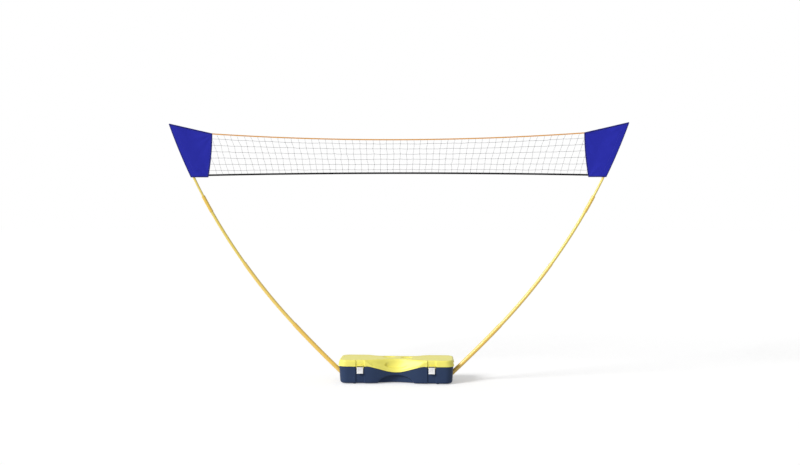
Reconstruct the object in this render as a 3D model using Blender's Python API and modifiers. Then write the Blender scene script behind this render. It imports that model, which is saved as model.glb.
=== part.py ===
"""Portable badminton net: two bowed telescoping poles stand in a closed carrying case and stretch a net.

Metres, +Z up. The origin is on the floor under the middle of the case, +X runs along the net and the
front of the case faces -Y. Everything is worked out from the driving dimensions below.
"""

import math

import bmesh
import bpy
from mathutils import Matrix, Vector

# Clearances
GAP = 0.0003  # between two pieces that touch
RUNNING_GAP = 0.0006  # round pins and in front of faces that swing past
CUT_MARGIN = 0.010  # how far a cutter reaches past what it cuts

# Carrying case: plan, heights and walls
CASE_LENGTH = 0.735
CASE_DEPTH = 0.255
CASE_HEIGHT = 0.154
CASE_WALL = 0.003
CORNER_RADIUS = 0.055
SEAM_HEIGHT = 0.115
SEAM_BAND = 0.006
TOP_ROUNDING = 0.009
BOTTOM_ROUNDING = 0.014
BASE_DRAFT = 0.007
FOOT_HEIGHT = 0.004
FOOT_RADIUS = 0.010
FOOT_FROM_END = 0.1005
FOOT_FROM_SIDE = 0.036

# Case front and back: the waist, the wave in the seam, the scoop with its grip and the arch below it
WAIST_DEPTH = 0.036
WAIST_FROM_CHANNEL = 0.0273
WAVE_DROP = 0.040
WAVE_FROM_CHANNEL = 0.0093
SCOOP_DEPTH = 0.028
SCOOP_RISE = 0.031
SCOOP_RISE_LENGTH = 0.055
BACK_SCOOP_DEPTH = 0.042
BACK_SCOOP_RISE_LENGTH = 0.085
GRIP_DEPTH = 0.014
GRIP_HALF_LENGTH = 0.075
GRIP_HEIGHT = 0.125
GRIP_REACH_DOWN = 0.030
GRIP_REACH_UP = 0.020
ARCH_DEPTH = 0.016
ARCH_HEIGHT = 0.057
ARCH_HALF_LENGTH = 0.118

# Latches on the front, each in an upright channel
LATCH_FROM_END = 0.138
LATCH_WIDTH = 0.040
LATCH_LENGTH = 0.0395
LATCH_BELOW_SEAM = 0.0062
LATCH_THICKNESS = 0.004
LATCH_HOOK = 0.0025
LATCH_KNUCKLE_RADIUS = 0.004
LATCH_PIN_RADIUS = 0.0015
LATCH_HOOK_HEIGHT = 0.003
LATCH_TAB_HEIGHT = 0.010
LATCH_CATCH_HEIGHT = 0.004
LATCH_CATCH_WIDTH = 0.024
LATCH_LEDGE_HEIGHT = 0.005
EAR_WALL = 0.002
CHANNEL_SIDE_ROOM = 0.0072
CHANNEL_DEPTH = 0.0065
CHANNEL_EDGE = 0.0005

# Hinges at the back
HINGE_KNUCKLE_RADIUS = 0.0045
HINGE_PIN_RADIUS = 0.002
HINGE_MIDDLE_WIDTH = 0.020
HINGE_SIDE_WIDTH = 0.014

# Poles: where they leave the case, and their four tubes from the case upwards
POLE_MOUTH_HEIGHT = 0.065
POLE_ANGLE = math.radians(43.3)
SOCKET_WALL = 0.002
SOCKET_FLOOR = 0.002
TUBE_WALL = 0.0017
TUBE_OVERLAP = 0.060
LOWER_TUBE_DIAMETER = 0.028
LOWER_TUBE_LENGTH = 0.430
MIDDLE_TUBE_LENGTH = 0.515
UPPER_TUBE_LENGTH = 0.515
TIP_TUBE_LENGTH = 0.490
LOWER_TUBE_BOW = 7.30
MIDDLE_TUBE_BOW = 3.87
UPPER_TUBE_BOW = 3.83
TIP_TUBE_BOW = 3.64
TUBE_RING_SPACING = 0.075
COLLAR_LENGTH = 0.118
COLLAR_WALL = 0.0015
BUTTON_RADIUS = 0.0025
BUTTON_PROUD = 0.0025
BUTTON_BELOW_RIM = 0.010
BUTTON_SPRING_LENGTH = 0.026
BUTTON_SPRING_WIDTH = 0.006
BUTTON_SPRING_THICKNESS = 0.0008
TIP_CAP_HEAD = 0.004
TIP_CAP_STEM = 0.015

# Fabric sleeves over the pole tips
SLEEVE_OUTER_LENGTH = 0.345
SLEEVE_EDGE_OFFSET = 0.015
SLEEVE_TIP_LENGTH = 0.030
SLEEVE_TOP_LENGTH = 0.292
SLEEVE_TOP_SLOPE = math.radians(12.9)
SLEEVE_HEM_LENGTH = 0.123
SLEEVE_INNER_BULGE = 0.006
SLEEVE_THICKNESS = 0.004
SLEEVE_FABRIC = 0.002
BINDING_HEIGHT = 0.006
BINDING_THICKNESS = 0.006

# Net and its two tapes
TAPE_HEIGHT = 0.008
TAPE_THICKNESS = 0.003
TOP_TAPE_SAG = 0.035
BOTTOM_TAPE_RISE = 0.014
NET_STRING = 0.002
NET_ROWS = 7
NET_COLUMNS = 36
NET_LEAN = 0.055
NET_LEAN_START = 0.06
TAPE_STEPS = 24

# How closely curved stretches are followed
WAIST_STATIONS = (0.94, 0.76, 0.58, 0.44, 0.33, 0.22, 0.11)
CORNER_STEPS = 4
LID_WALL_STEPS = 7
BASE_WALL_STEPS = 4
TUBE_SIDES = 12
FLAT_SHARE = math.cos(math.pi / TUBE_SIDES)  # a faceted bore's flats lie this much nearer its axis

# Sizes that follow from those above
LATCH_X = CASE_LENGTH / 2 - LATCH_FROM_END
HINGE_X = LATCH_X
CHANNEL_WIDTH = LATCH_WIDTH + 2 * CHANNEL_SIDE_ROOM
CHANNEL_FLOOR_Y = -(CASE_DEPTH / 2 - CHANNEL_DEPTH)
WAIST_HALF_LENGTH = LATCH_X - CHANNEL_WIDTH / 2 - WAIST_FROM_CHANNEL
SCOOP_HALF_LENGTH = LATCH_X - CHANNEL_WIDTH / 2
WAVE_HALF_LENGTH = SCOOP_HALF_LENGTH - WAVE_FROM_CHANNEL
SOCKET_INNER_RADIUS = LOWER_TUBE_DIAMETER / 2 + GAP
SOCKET_OUTER_RADIUS = SOCKET_INNER_RADIUS + SOCKET_WALL
SOCKET_FLOOR_ROOM = POLE_MOUTH_HEIGHT - FOOT_HEIGHT - CASE_WALL - 2 * GAP
SOCKET_LENGTH = (SOCKET_FLOOR_ROOM - SOCKET_OUTER_RADIUS * math.cos(POLE_ANGLE)) / math.sin(POLE_ANGLE)
POLE_SEAT_DEPTH = SOCKET_LENGTH - SOCKET_FLOOR - GAP
TUBE_NAMES = ("lower", "middle", "upper", "tip")
TUBE_LENGTHS = (LOWER_TUBE_LENGTH, MIDDLE_TUBE_LENGTH, UPPER_TUBE_LENGTH, TIP_TUBE_LENGTH)
TUBE_BOWS = (LOWER_TUBE_BOW, MIDDLE_TUBE_BOW, UPPER_TUBE_BOW, TIP_TUBE_BOW)
TUBE_STEP = 2 * (TUBE_WALL + GAP)
TUBE_DIAMETERS = tuple(LOWER_TUBE_DIAMETER - i * TUBE_STEP for i in range(4))
POLE_LENGTH = sum(TUBE_LENGTHS)
SIDES = (("left", -1), ("right", 1))


def clear_scene():
    for obj in list(bpy.data.objects):
        bpy.data.objects.remove(obj, do_unlink=True)


def new_collection(name, hidden=False):
    collection = bpy.data.collections.new(name)
    collection.hide_render = hidden
    bpy.context.scene.collection.children.link(collection)
    return collection


def material(name, colour, roughness, metallic=0.0):
    made = bpy.data.materials.new(name)
    made.use_nodes = True
    shader = made.node_tree.nodes["Principled BSDF"]
    shader.inputs["Base Color"].default_value = (*colour, 1.0)
    shader.inputs["Roughness"].default_value = roughness
    shader.inputs["Metallic"].default_value = metallic
    return made


clear_scene()
PARTS = new_collection("badminton_net")
CUTTERS = new_collection("cutters", hidden=True)
NAVY_PLASTIC = material("navy_plastic", (0.028, 0.048, 0.120), 0.45)
YELLOW_PLASTIC = material("yellow_plastic", (0.90, 0.86, 0.20), 0.45)
WHITE_PLASTIC = material("white_plastic", (0.85, 0.86, 0.88), 0.40)
BLACK_PLASTIC = material("black_plastic", (0.02, 0.02, 0.022), 0.50)
POLE_YELLOW = material("pole_yellow", (0.84, 0.52, 0.09), 0.35)
STEEL = material("steel", (0.60, 0.60, 0.62), 0.30, 1.0)
RUBBER = material("rubber", (0.03, 0.03, 0.03), 0.85)
BLUE_FABRIC = material("blue_fabric", (0.022, 0.026, 0.37), 0.85)
NAVY_BINDING = material("navy_binding", (0.012, 0.014, 0.17), 0.90)
ORANGE_TAPE = material("orange_tape", (0.86, 0.47, 0.13), 0.80)
BLACK_TAPE = material("black_tape", (0.015, 0.015, 0.017), 0.85)
NET_CORD = material("net_cord", (0.12, 0.12, 0.13), 0.80)


def add_part(name, mesh, finish, smooth_angle=35):
    obj = bpy.data.objects.new(name, mesh)
    mesh.materials.clear()
    mesh.materials.append(finish)
    mesh.shade_smooth()
    mesh.set_sharp_from_angle(angle=math.radians(smooth_angle))
    PARTS.objects.link(obj)
    return obj


def add_cutter(name, mesh):
    obj = bpy.data.objects.new(name, mesh)
    obj.hide_render = True
    obj.display_type = "WIRE"
    CUTTERS.objects.link(obj)
    return obj


def boolean(obj, other, operation):
    modifier = obj.modifiers.new(f"{operation.lower()} {other.name}", "BOOLEAN")
    modifier.operation = operation
    modifier.object = other


def solidify(obj, thickness, offset=-1.0):
    modifier = obj.modifiers.new("wall", "SOLIDIFY")
    modifier.thickness = thickness
    modifier.offset = offset
    modifier.use_even_offset = True
    modifier.use_rim = True


def mesh_from(bm, name, closed=True):
    if closed:
        bmesh.ops.recalc_face_normals(bm, faces=bm.faces)
    mesh = bpy.data.meshes.new(name)
    bm.to_mesh(mesh)
    bm.free()
    return mesh


def box_mesh(name, low, high):
    bm = bmesh.new()
    bmesh.ops.create_cube(bm, size=1.0)
    size = [b - a for a, b in zip(low, high)]
    centre = [(a + b) / 2 for a, b in zip(low, high)]
    bmesh.ops.scale(bm, vec=size, verts=bm.verts)
    bmesh.ops.translate(bm, vec=centre, verts=bm.verts)
    return mesh_from(bm, name)


def cylinder_mesh(name, radius, start, end, sides=20):
    """A closed cylinder between two points."""
    start, end = Vector(start), Vector(end)
    along = end - start
    turn = along.to_track_quat("Z", "X").to_matrix().to_4x4()
    place = Matrix.Translation((start + end) / 2) @ turn
    bm = bmesh.new()
    bmesh.ops.create_cone(
        bm, cap_ends=True, segments=sides, radius1=radius, radius2=radius, depth=along.length, matrix=place
    )
    return mesh_from(bm, name)


def extruded_mesh(name, outline, centre_x, width):
    """A flat outline of (y, z) points, made thick along X."""
    curve = bpy.data.curves.new(name, "CURVE")
    curve.dimensions = "2D"
    curve.fill_mode = "BOTH"
    curve.extrude = width / 2
    spline = curve.splines.new("POLY")
    spline.points.add(len(outline) - 1)
    for point, (y, z) in zip(spline.points, outline):
        point.co = (y, z, 0.0, 1.0)
    spline.use_cyclic_u = True
    # The curve lies in XY: its X becomes world Y, its Y world Z and its thickness world X.
    stand_up = Matrix(((0, 0, 1, centre_x), (1, 0, 0, 0), (0, 1, 0, 0), (0, 0, 0, 1)))
    return mesh_of_curve(name, curve, stand_up)


def mesh_of_curve(name, curve, place=None, closed=True):
    """The curve's surface as a mesh with its caps welded, and the curve removed."""
    guide = bpy.data.objects.new(f"{name} guide", curve)
    CUTTERS.objects.link(guide)
    bpy.context.view_layer.update()
    graph = bpy.context.evaluated_depsgraph_get()
    mesh = bpy.data.meshes.new_from_object(guide.evaluated_get(graph))
    bpy.data.objects.remove(guide, do_unlink=True)
    bm = bmesh.new()
    bm.from_mesh(mesh)
    bpy.data.meshes.remove(mesh)
    bmesh.ops.remove_doubles(bm, verts=bm.verts, dist=0.00001)
    if place is not None:
        bm.transform(place)
    return mesh_from(bm, name, closed)


def tube_surface(name, points, radius, caps):
    """A round sweep through points, open or closed at its ends."""
    curve = bpy.data.curves.new(name, "CURVE")
    curve.dimensions = "3D"
    curve.bevel_depth = radius
    curve.bevel_resolution = (TUBE_SIDES - 4) // 2
    curve.use_fill_caps = caps
    spline = curve.splines.new("POLY")
    spline.points.add(len(points) - 1)
    for point, place in zip(spline.points, points):
        point.co = (*place, 1.0)
    return mesh_of_curve(name, curve, closed=caps)


def bell(share):
    """1 in the middle, falling smoothly to 0 at a share of 1 either way."""
    return 0.5 + 0.5 * math.cos(math.pi * share) if abs(share) < 1 else 0.0


def ease(share):
    share = min(max(share, 0.0), 1.0)
    return share * share * (3 - 2 * share)


# The pole's centre line, for the right-hand pole in the plane y = 0


def pole_point(distance, side=1):
    """(place, direction) at a distance along the pole from the case's end wall; negative is in the socket."""
    x, z, angle = CASE_LENGTH / 2, POLE_MOUTH_HEIGHT, POLE_ANGLE
    left = distance
    if left > 0:
        for index, (length, bow) in enumerate(zip(TUBE_LENGTHS, TUBE_BOWS)):
            step = left if index == len(TUBE_LENGTHS) - 1 else min(left, length)
            turned = angle + step / bow
            x += bow * (math.sin(turned) - math.sin(angle))
            z += bow * (math.cos(angle) - math.cos(turned))
            angle = turned
            left -= step
            if left <= 0:
                break
    else:
        x += left * math.cos(angle)
        z += left * math.sin(angle)
    return Vector((side * x, 0, z)), Vector((side * math.cos(angle), 0, math.sin(angle)))


def pole_points(start, end, side):
    """Points along the pole, with one at the case's end wall where the straight stretch ends."""
    bent = max(start, 0.0)
    steps = max(1, math.ceil((end - bent) / TUBE_RING_SPACING))
    distances = [bent + (end - bent) * i / steps for i in range(steps + 1)]
    if start < bent:
        distances.insert(0, start)
    return [pole_point(d, side)[0] for d in distances]


def tube_start(index):
    """Where a tube's lower end lies, inside the tube below it or in the socket."""
    return -POLE_SEAT_DEPTH if index == 0 else sum(TUBE_LENGTHS[:index]) - TUBE_OVERLAP


def tube_end(index):
    return sum(TUBE_LENGTHS[: index + 1])


def make_pole(side_name, side):
    place, axis = button_frame(side)
    hole_mesh = cylinder_mesh("button_hole", BUTTON_RADIUS + GAP, place, place + axis * TUBE_DIAMETERS[1], 12)
    hole = add_cutter(f"button_hole_{side_name}", hole_mesh)
    for index, name in enumerate(TUBE_NAMES):
        points = pole_points(tube_start(index), tube_end(index), side)
        mesh = tube_surface(name, points, TUBE_DIAMETERS[index] / 2, caps=False)
        tube = add_part(f"pole_{name}_{side_name}", mesh, POLE_YELLOW)
        solidify(tube, TUBE_WALL)
        if name in ("middle", "upper"):
            boolean(tube, hole, "DIFFERENCE")
    rim = tube_end(2)
    collar_radius = TUBE_DIAMETERS[2] / 2 + GAP + COLLAR_WALL
    collar_points = pole_points(rim - COLLAR_LENGTH, rim, side)
    collar_mesh = tube_surface("collar", collar_points, collar_radius, caps=False)
    collar = add_part(f"pole_collar_{side_name}", collar_mesh, POLE_YELLOW)
    solidify(collar, COLLAR_WALL)
    make_button(side_name, side)
    make_tip_cap(side_name, side)


def button_frame(side):
    """The button's place on the centre line and the way it points, square to the pole on its inner side."""
    place, along = pole_point(tube_end(1) - BUTTON_BELOW_RIM, side)
    return place, Vector((-side * abs(along.z), 0, abs(along.x)))


def make_button(side_name, side):
    """A round button on a leaf spring that lies inside the upper tube."""
    place, axis = button_frame(side)
    bore = (TUBE_DIAMETERS[2] / 2 - TUBE_WALL) * FLAT_SHARE
    leaf_top = math.sqrt(bore**2 - (BUTTON_SPRING_WIDTH / 2) ** 2) - 2 * GAP
    root = place + axis * (leaf_top - BUTTON_SPRING_THICKNESS / 2)
    head = place + axis * (TUBE_DIAMETERS[1] / 2 + BUTTON_PROUD)
    mesh = cylinder_mesh("button", BUTTON_RADIUS, root, head, 12)
    button = add_part(f"pole_button_{side_name}", mesh, STEEL)
    leaf_mesh = box_mesh(
        "leaf",
        (-BUTTON_SPRING_LENGTH / 2, -BUTTON_SPRING_WIDTH / 2, leaf_top - BUTTON_SPRING_THICKNESS),
        (BUTTON_SPRING_LENGTH / 2, BUTTON_SPRING_WIDTH / 2, leaf_top),
    )
    leaf = add_cutter(f"button_leaf_{side_name}", leaf_mesh)
    leaf.matrix_world = Matrix.Translation(place) @ axis.to_track_quat("Z", "X").to_matrix().to_4x4()
    boolean(button, leaf, "UNION")


def make_tip_cap(side_name, side):
    """A turned plug that closes the tip tube: a stem inside it and a rounded head on it."""
    place, along = pole_point(tube_end(3), side)
    outer = TUBE_DIAMETERS[3] / 2
    stem = (outer - TUBE_WALL - GAP) * FLAT_SHARE
    profile = (
        (0.0, TIP_CAP_HEAD),
        (outer * 0.6, TIP_CAP_HEAD * 0.85),
        (outer, GAP + TIP_CAP_HEAD * 0.35),
        (outer, GAP),
        (stem, GAP),
        (stem, -TIP_CAP_STEM),
        (0.0, -TIP_CAP_STEM),
    )
    cap = turned_part(f"pole_tip_cap_{side_name}", profile, BLACK_PLASTIC)
    cap.matrix_world = Matrix.Translation(place) @ along.to_track_quat("Z", "Y").to_matrix().to_4x4()


def turned_part(name, profile, finish, sides=16):
    """A (radius, height) profile, outer side first and top to bottom, turned about Z."""
    bm = bmesh.new()
    verts = [bm.verts.new((radius, 0, height)) for radius, height in profile]
    for first, second in zip(verts, verts[1:]):
        bm.edges.new((first, second))
    mesh = bpy.data.meshes.new(name)
    bm.to_mesh(mesh)
    bm.free()
    obj = add_part(name, mesh, finish)
    screw = obj.modifiers.new("turn", "SCREW")
    screw.steps = sides
    screw.render_steps = sides
    screw.use_merge_vertices = True
    screw.merge_threshold = 0.0001
    return obj


def make_socket(side_name, side):
    """A blind tube in the base that takes the pole's foot, trimmed flush with the end wall."""
    inner, outer = SOCKET_INNER_RADIUS, SOCKET_OUTER_RADIUS
    proud = 2 * outer
    profile = (
        (outer, proud),
        (outer, -SOCKET_LENGTH),
        (0.0, -SOCKET_LENGTH),
        (0.0, -POLE_SEAT_DEPTH - GAP),
        (inner, -POLE_SEAT_DEPTH - GAP),
        (inner, proud),
    )
    socket = turned_part(f"pole_socket_{side_name}", profile, NAVY_PLASTIC, 24)
    close_profile(socket.data)
    place, along = pole_point(0.0, side)
    socket.matrix_world = Matrix.Translation(place) @ along.to_track_quat("Z", "Y").to_matrix().to_4x4()
    near = CASE_LENGTH / 2 - CASE_WALL / 2 - BASE_DRAFT / 2
    reach = 2 * proud
    low_x, high_x = sorted((side * near, side * (near + reach)))
    low_z, high_z = POLE_MOUTH_HEIGHT - reach, POLE_MOUTH_HEIGHT + reach
    trim_mesh = box_mesh("socket_trim", (low_x, -reach, low_z), (high_x, reach, high_z))
    boolean(socket, add_cutter(f"socket_trim_{side_name}", trim_mesh), "DIFFERENCE")
    inside, outside = place - along * (POLE_SEAT_DEPTH / 2), place + along * (3 * outer)
    hole = cylinder_mesh("socket_hole", outer + GAP, inside, outside, 24)
    return add_cutter(f"socket_hole_{side_name}", hole)


def close_profile(mesh):
    """Joins a profile's last point to its first, for a turned ring."""
    bm = bmesh.new()
    bm.from_mesh(mesh)
    bm.verts.ensure_lookup_table()
    bm.edges.new((bm.verts[-1], bm.verts[0]))
    bm.to_mesh(mesh)
    bm.free()


# Case shells


def plan_stations():
    """The case's plan as (x, y) points, one turn from the right end, at the seam and without its waist."""
    half_x, half_y, radius = CASE_LENGTH / 2, CASE_DEPTH / 2, CORNER_RADIUS
    quarter = [(half_x, 0.0)]
    for i in range(CORNER_STEPS + 1):
        angle = math.pi / 2 * i / CORNER_STEPS
        turned = (half_x - radius + radius * math.cos(angle), half_y - radius + radius * math.sin(angle))
        quarter.append(turned)
    channel_out = LATCH_X + CHANNEL_WIDTH / 2
    channel_in = LATCH_X - CHANNEL_WIDTH / 2
    xs = [edge + step for edge in (channel_out, channel_in) for step in (CHANNEL_EDGE, -CHANNEL_EDGE)]
    xs += [WAIST_HALF_LENGTH * share for share in WAIST_STATIONS]
    quarter += [(x, half_y) for x in xs]
    quarter.append((0.0, half_y))
    back_right = quarter
    back_left = [(-x, y) for x, y in reversed(quarter[:-1])]
    front_left = [(-x, -y) for x, y in quarter[1:]]
    front_right = [(x, -y) for x, y in reversed(quarter[1:-1])]
    return back_right + back_left + front_left + front_right


def in_channel(x, y):
    return y < 0 and abs(abs(x) - LATCH_X) < CHANNEL_WIDTH / 2


def seam_height(x, y):
    """The seam dips in a wave at the front and runs level elsewhere."""
    return SEAM_HEIGHT - (WAVE_DROP * bell(x / WAVE_HALF_LENGTH) if y < 0 else 0.0)


def inset(x, y, amount):
    """The station moved in towards the case's long middle line, along the plan's own normal."""
    half_x, half_y, radius = CASE_LENGTH / 2, CASE_DEPTH / 2, CORNER_RADIUS
    centre_x = math.copysign(half_x - radius, x)
    centre_y = math.copysign(half_y - radius, y)
    if abs(x) > half_x - radius and abs(y) > half_y - radius:
        share = 1 - amount / radius
        return centre_x + (x - centre_x) * share, centre_y + (y - centre_y) * share
    if abs(y) <= half_y - radius:
        return x - math.copysign(amount, x), y
    return x, y - math.copysign(amount, y)


def long_side(x, y):
    return abs(y) > CASE_DEPTH / 2 - CORNER_RADIUS and abs(x) <= CASE_LENGTH / 2 - CORNER_RADIUS


def shell_point(x, y, z, amount, recess):
    """A point of the case's skin: the station inset, then pushed in by the waist and any recess."""
    px, py = inset(x, y, amount)
    if long_side(x, y):
        pushed = WAIST_DEPTH * bell(x / WAIST_HALF_LENGTH) + recess
        if in_channel(x, y):
            pushed += CHANNEL_DEPTH
        py -= math.copysign(pushed, y)
    return px, py, z


def scoop_edge(x, y):
    """Where the scoop starts: just above the seam, and rising to the top edge beside the latch channels."""
    rise = (abs(x) - SCOOP_HALF_LENGTH + SCOOP_RISE_LENGTH) / SCOOP_RISE_LENGTH
    edge = seam_height(x, y) + SEAM_BAND + SCOOP_RISE * min(max(rise, 0.0), 1.0)
    return min(edge, CASE_HEIGHT - TOP_ROUNDING)


def scoop_depth(x, y):
    """How far the scoop reaches in at the top edge, beyond the waist; at the back it is wide and shallow."""
    if y < 0:
        return SCOOP_DEPTH * max(1 - (x / SCOOP_HALF_LENGTH) ** 2, 0.0) ** 1.2
    whole = BACK_SCOOP_DEPTH * ease((SCOOP_HALF_LENGTH - abs(x)) / BACK_SCOOP_RISE_LENGTH)
    return max(whole - WAIST_DEPTH * bell(x / WAIST_HALF_LENGTH), 0.0)


def lid_recess(x, y, z):
    """How far the scoop, and the grip in it, push the lid's wall in at a height."""
    edge = scoop_edge(x, y)
    share = min(max((z - edge) / (CASE_HEIGHT - edge), 0.0), 1.0)
    scoop = scoop_depth(x, y) * (share * (2 - share) + ease(share)) / 2
    reach = GRIP_REACH_DOWN if z < GRIP_HEIGHT else GRIP_REACH_UP
    oval = 1 - (x / GRIP_HALF_LENGTH) ** 2 - ((z - GRIP_HEIGHT) / reach) ** 2
    return scoop + (GRIP_DEPTH * ease(oval * 1.6) if y < 0 else 0.0)


def base_recess(x, z):
    """How far the arch pushes the base's wall in at a height."""
    share = 1 - (x / ARCH_HALF_LENGTH) ** 2 - (z / ARCH_HEIGHT) ** 2
    return ARCH_DEPTH * ease(share * 1.4)


def lid_rings(stations):
    """From the rim up: an upright band, the wall with its scoop, the rounded edge and the flat top."""
    rings = []
    for band in (0.0, SEAM_BAND):
        rings.append([shell_point(x, y, seam_height(x, y) + GAP / 2 + band, 0.0, 0.0) for x, y in stations])
    for step in range(1, LID_WALL_STEPS + 1):
        share = step / LID_WALL_STEPS
        ring = []
        for x, y in stations:
            low = seam_height(x, y) + GAP / 2 + SEAM_BAND
            z = low + (CASE_HEIGHT - TOP_ROUNDING - low) * share
            ring.append(shell_point(x, y, z, 0.0, lid_recess(x, y, z)))
        rings.append(ring)
    for share in (0.5, 1.0):
        angle = math.pi / 2 * share
        z = CASE_HEIGHT - TOP_ROUNDING * (1 - math.sin(angle))
        amount = TOP_ROUNDING * (1 - math.cos(angle))
        rings.append([shell_point(x, y, z, amount, lid_recess(x, y, z)) for x, y in stations])
    return rings + cap_rings(rings[-1], CASE_HEIGHT, (0.45, 1.0))


def base_rings(stations):
    """From the rim down: an upright band, the wall with its arch, the rounded edge and the flat bottom."""
    rings = []
    floor = FOOT_HEIGHT
    for band in (0.0, SEAM_BAND):
        rings.append([shell_point(x, y, seam_height(x, y) - GAP / 2 - band, 0.0, 0.0) for x, y in stations])
    for step in range(1, BASE_WALL_STEPS + 1):
        share = step / BASE_WALL_STEPS
        ring = []
        for x, y in stations:
            high = seam_height(x, y) - GAP / 2 - SEAM_BAND
            z = high - (high - floor - BOTTOM_ROUNDING) * share
            draft = BASE_DRAFT * (high - z) / (high - floor)
            ring.append(shell_point(x, y, z, draft, base_recess(x, z)))
        rings.append(ring)
    for share in (0.5, 1.0):
        angle = math.pi / 2 * share
        z = floor + BOTTOM_ROUNDING * (1 - math.sin(angle))
        amount = BASE_DRAFT + BOTTOM_ROUNDING * (1 - math.cos(angle))
        rings.append([shell_point(x, y, z, amount, base_recess(x, z)) for x, y in stations])
    return rings + cap_rings(rings[-1], floor, (0.5, 1.0))


def cap_rings(edge, height, shares):
    """Rings that close a flat end onto the case's long middle line."""
    reach = CASE_LENGTH / 2 - CORNER_RADIUS * 1.6
    rings = []
    for share in shares:
        ring = []
        for x, y, _ in edge:
            middle_x = min(max(x, -reach), reach)
            ring.append((x + (middle_x - x) * share, y * (1 - share), height))
        rings.append(ring)
    return rings


def lofted_mesh(name, rings):
    """Quads between rings of equal count; points that meet on the middle line are merged."""
    bm = bmesh.new()
    rows = [[bm.verts.new(point) for point in ring] for ring in rings]
    count = len(rings[0])
    for lower, upper in zip(rows, rows[1:]):
        for i in range(count):
            j = (i + 1) % count
            bm.faces.new((lower[i], lower[j], upper[j], upper[i]))
    bmesh.ops.remove_doubles(bm, verts=bm.verts, dist=0.00005)
    bmesh.ops.dissolve_degenerate(bm, edges=bm.edges, dist=0.00005)
    return mesh_from(bm, name)


def face_outwards(mesh):
    """Turns an open shell's faces so that they point away from the case's middle."""
    middle = Vector((0, 0, CASE_HEIGHT / 2))
    total = sum((face.center - middle).dot(face.normal) * face.area for face in mesh.polygons)
    if total < 0:
        mesh.flip_normals()


def make_shells(socket_holes):
    stations = plan_stations()
    base_mesh = lofted_mesh("case_base", base_rings(stations))
    face_outwards(base_mesh)
    base = add_part("case_base", base_mesh, NAVY_PLASTIC)
    solidify(base, CASE_WALL)
    lid_mesh = lofted_mesh("case_lid", lid_rings(stations))
    face_outwards(lid_mesh)
    lid = add_part("case_lid", lid_mesh, YELLOW_PLASTIC)
    solidify(lid, CASE_WALL)
    for hole in socket_holes:
        boolean(base, hole, "DIFFERENCE")
    return base, lid


# Hinges


def hinge_axis():
    return CASE_DEPTH / 2 + HINGE_KNUCKLE_RADIUS + RUNNING_GAP, SEAM_HEIGHT


def knuckle_outline(above):
    """A knuckle and its web to the shell, in (y, z): above the seam on the lid, below it on the base."""
    y, z = hinge_axis()
    wall = CASE_DEPTH / 2 - CASE_WALL / 2
    sign = 1 if above else -1
    arc = []
    for i in range(11):
        angle = math.pi / 2 - 1.5 * math.pi * i / 10
        rise = HINGE_KNUCKLE_RADIUS * math.sin(angle)
        arc.append((y + HINGE_KNUCKLE_RADIUS * math.cos(angle), z + sign * rise))
    web_edge = z + sign * RUNNING_GAP * 2
    outline = [(wall, web_edge), (wall, z + sign * HINGE_KNUCKLE_RADIUS)] + arc
    inner_y = y - math.sqrt(HINGE_KNUCKLE_RADIUS**2 - (RUNNING_GAP * 2) ** 2)
    outline.append((inner_y, web_edge))
    return outline


def make_hinge(side_name, side, base, lid):
    centre = side * HINGE_X
    y, z = hinge_axis()
    middle = HINGE_MIDDLE_WIDTH
    lid_mesh = extruded_mesh("lid_knuckle", knuckle_outline(True), centre, middle)
    boolean(lid, add_cutter(f"lid_knuckle_{side_name}", lid_mesh), "UNION")
    offset = middle / 2 + RUNNING_GAP + HINGE_SIDE_WIDTH / 2
    for step in (-1, 1):
        mesh = extruded_mesh("base_knuckle", knuckle_outline(False), centre + step * offset, HINGE_SIDE_WIDTH)
        boolean(base, add_cutter(f"base_knuckle_{side_name}_{step + 1}", mesh), "UNION")
    reach = middle / 2 + RUNNING_GAP + HINGE_SIDE_WIDTH
    bore_start, bore_end = (centre - reach - CUT_MARGIN, y, z), (centre + reach + CUT_MARGIN, y, z)
    bore = cylinder_mesh("hinge_bore", HINGE_PIN_RADIUS + GAP, bore_start, bore_end, 16)
    bore_cutter = add_cutter(f"hinge_bore_{side_name}", bore)
    boolean(lid, bore_cutter, "DIFFERENCE")
    boolean(base, bore_cutter, "DIFFERENCE")
    pin = cylinder_mesh("hinge_pin", HINGE_PIN_RADIUS, (centre - reach, y, z), (centre + reach, y, z), 16)
    add_part(f"hinge_pin_{side_name}", pin, STEEL)


# Latches


def latch_axis():
    """The latch's pin, in (y, z): the knuckle stands in front of the channel, a little under the seam."""
    height = SEAM_HEIGHT - LATCH_BELOW_SEAM - LATCH_KNUCKLE_RADIUS
    return CHANNEL_FLOOR_Y - LATCH_KNUCKLE_RADIUS - RUNNING_GAP, height


def latch_outline():
    """The latch from its side, in (y, z): knuckle, plate, hook under the catch and a finger tab."""
    y, z = latch_axis()
    back = y + LATCH_THICKNESS * 0.25
    front = back - LATCH_THICKNESS
    bottom = z + LATCH_KNUCKLE_RADIUS - LATCH_LENGTH
    reach_y, _ = hinge_axis()
    tab = -(reach_y + HINGE_KNUCKLE_RADIUS)
    outline = []
    low_angle = -math.acos((back - y) / LATCH_KNUCKLE_RADIUS)
    high_angle = math.pi + math.acos((y - front) / LATCH_KNUCKLE_RADIUS)
    for i in range(13):
        angle = low_angle + (high_angle - low_angle) * i / 12
        across, up = math.cos(angle), math.sin(angle)
        outline.append((y + LATCH_KNUCKLE_RADIUS * across, z + LATCH_KNUCKLE_RADIUS * up))
    outline += [
        (front, bottom + LATCH_TAB_HEIGHT),
        (tab, bottom + LATCH_TAB_HEIGHT / 5),
        (tab, bottom),
        (back + LATCH_HOOK, bottom),
        (back + LATCH_HOOK, bottom + LATCH_HOOK_HEIGHT),
        (back, bottom + LATCH_HOOK_HEIGHT),
    ]
    return outline


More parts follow.
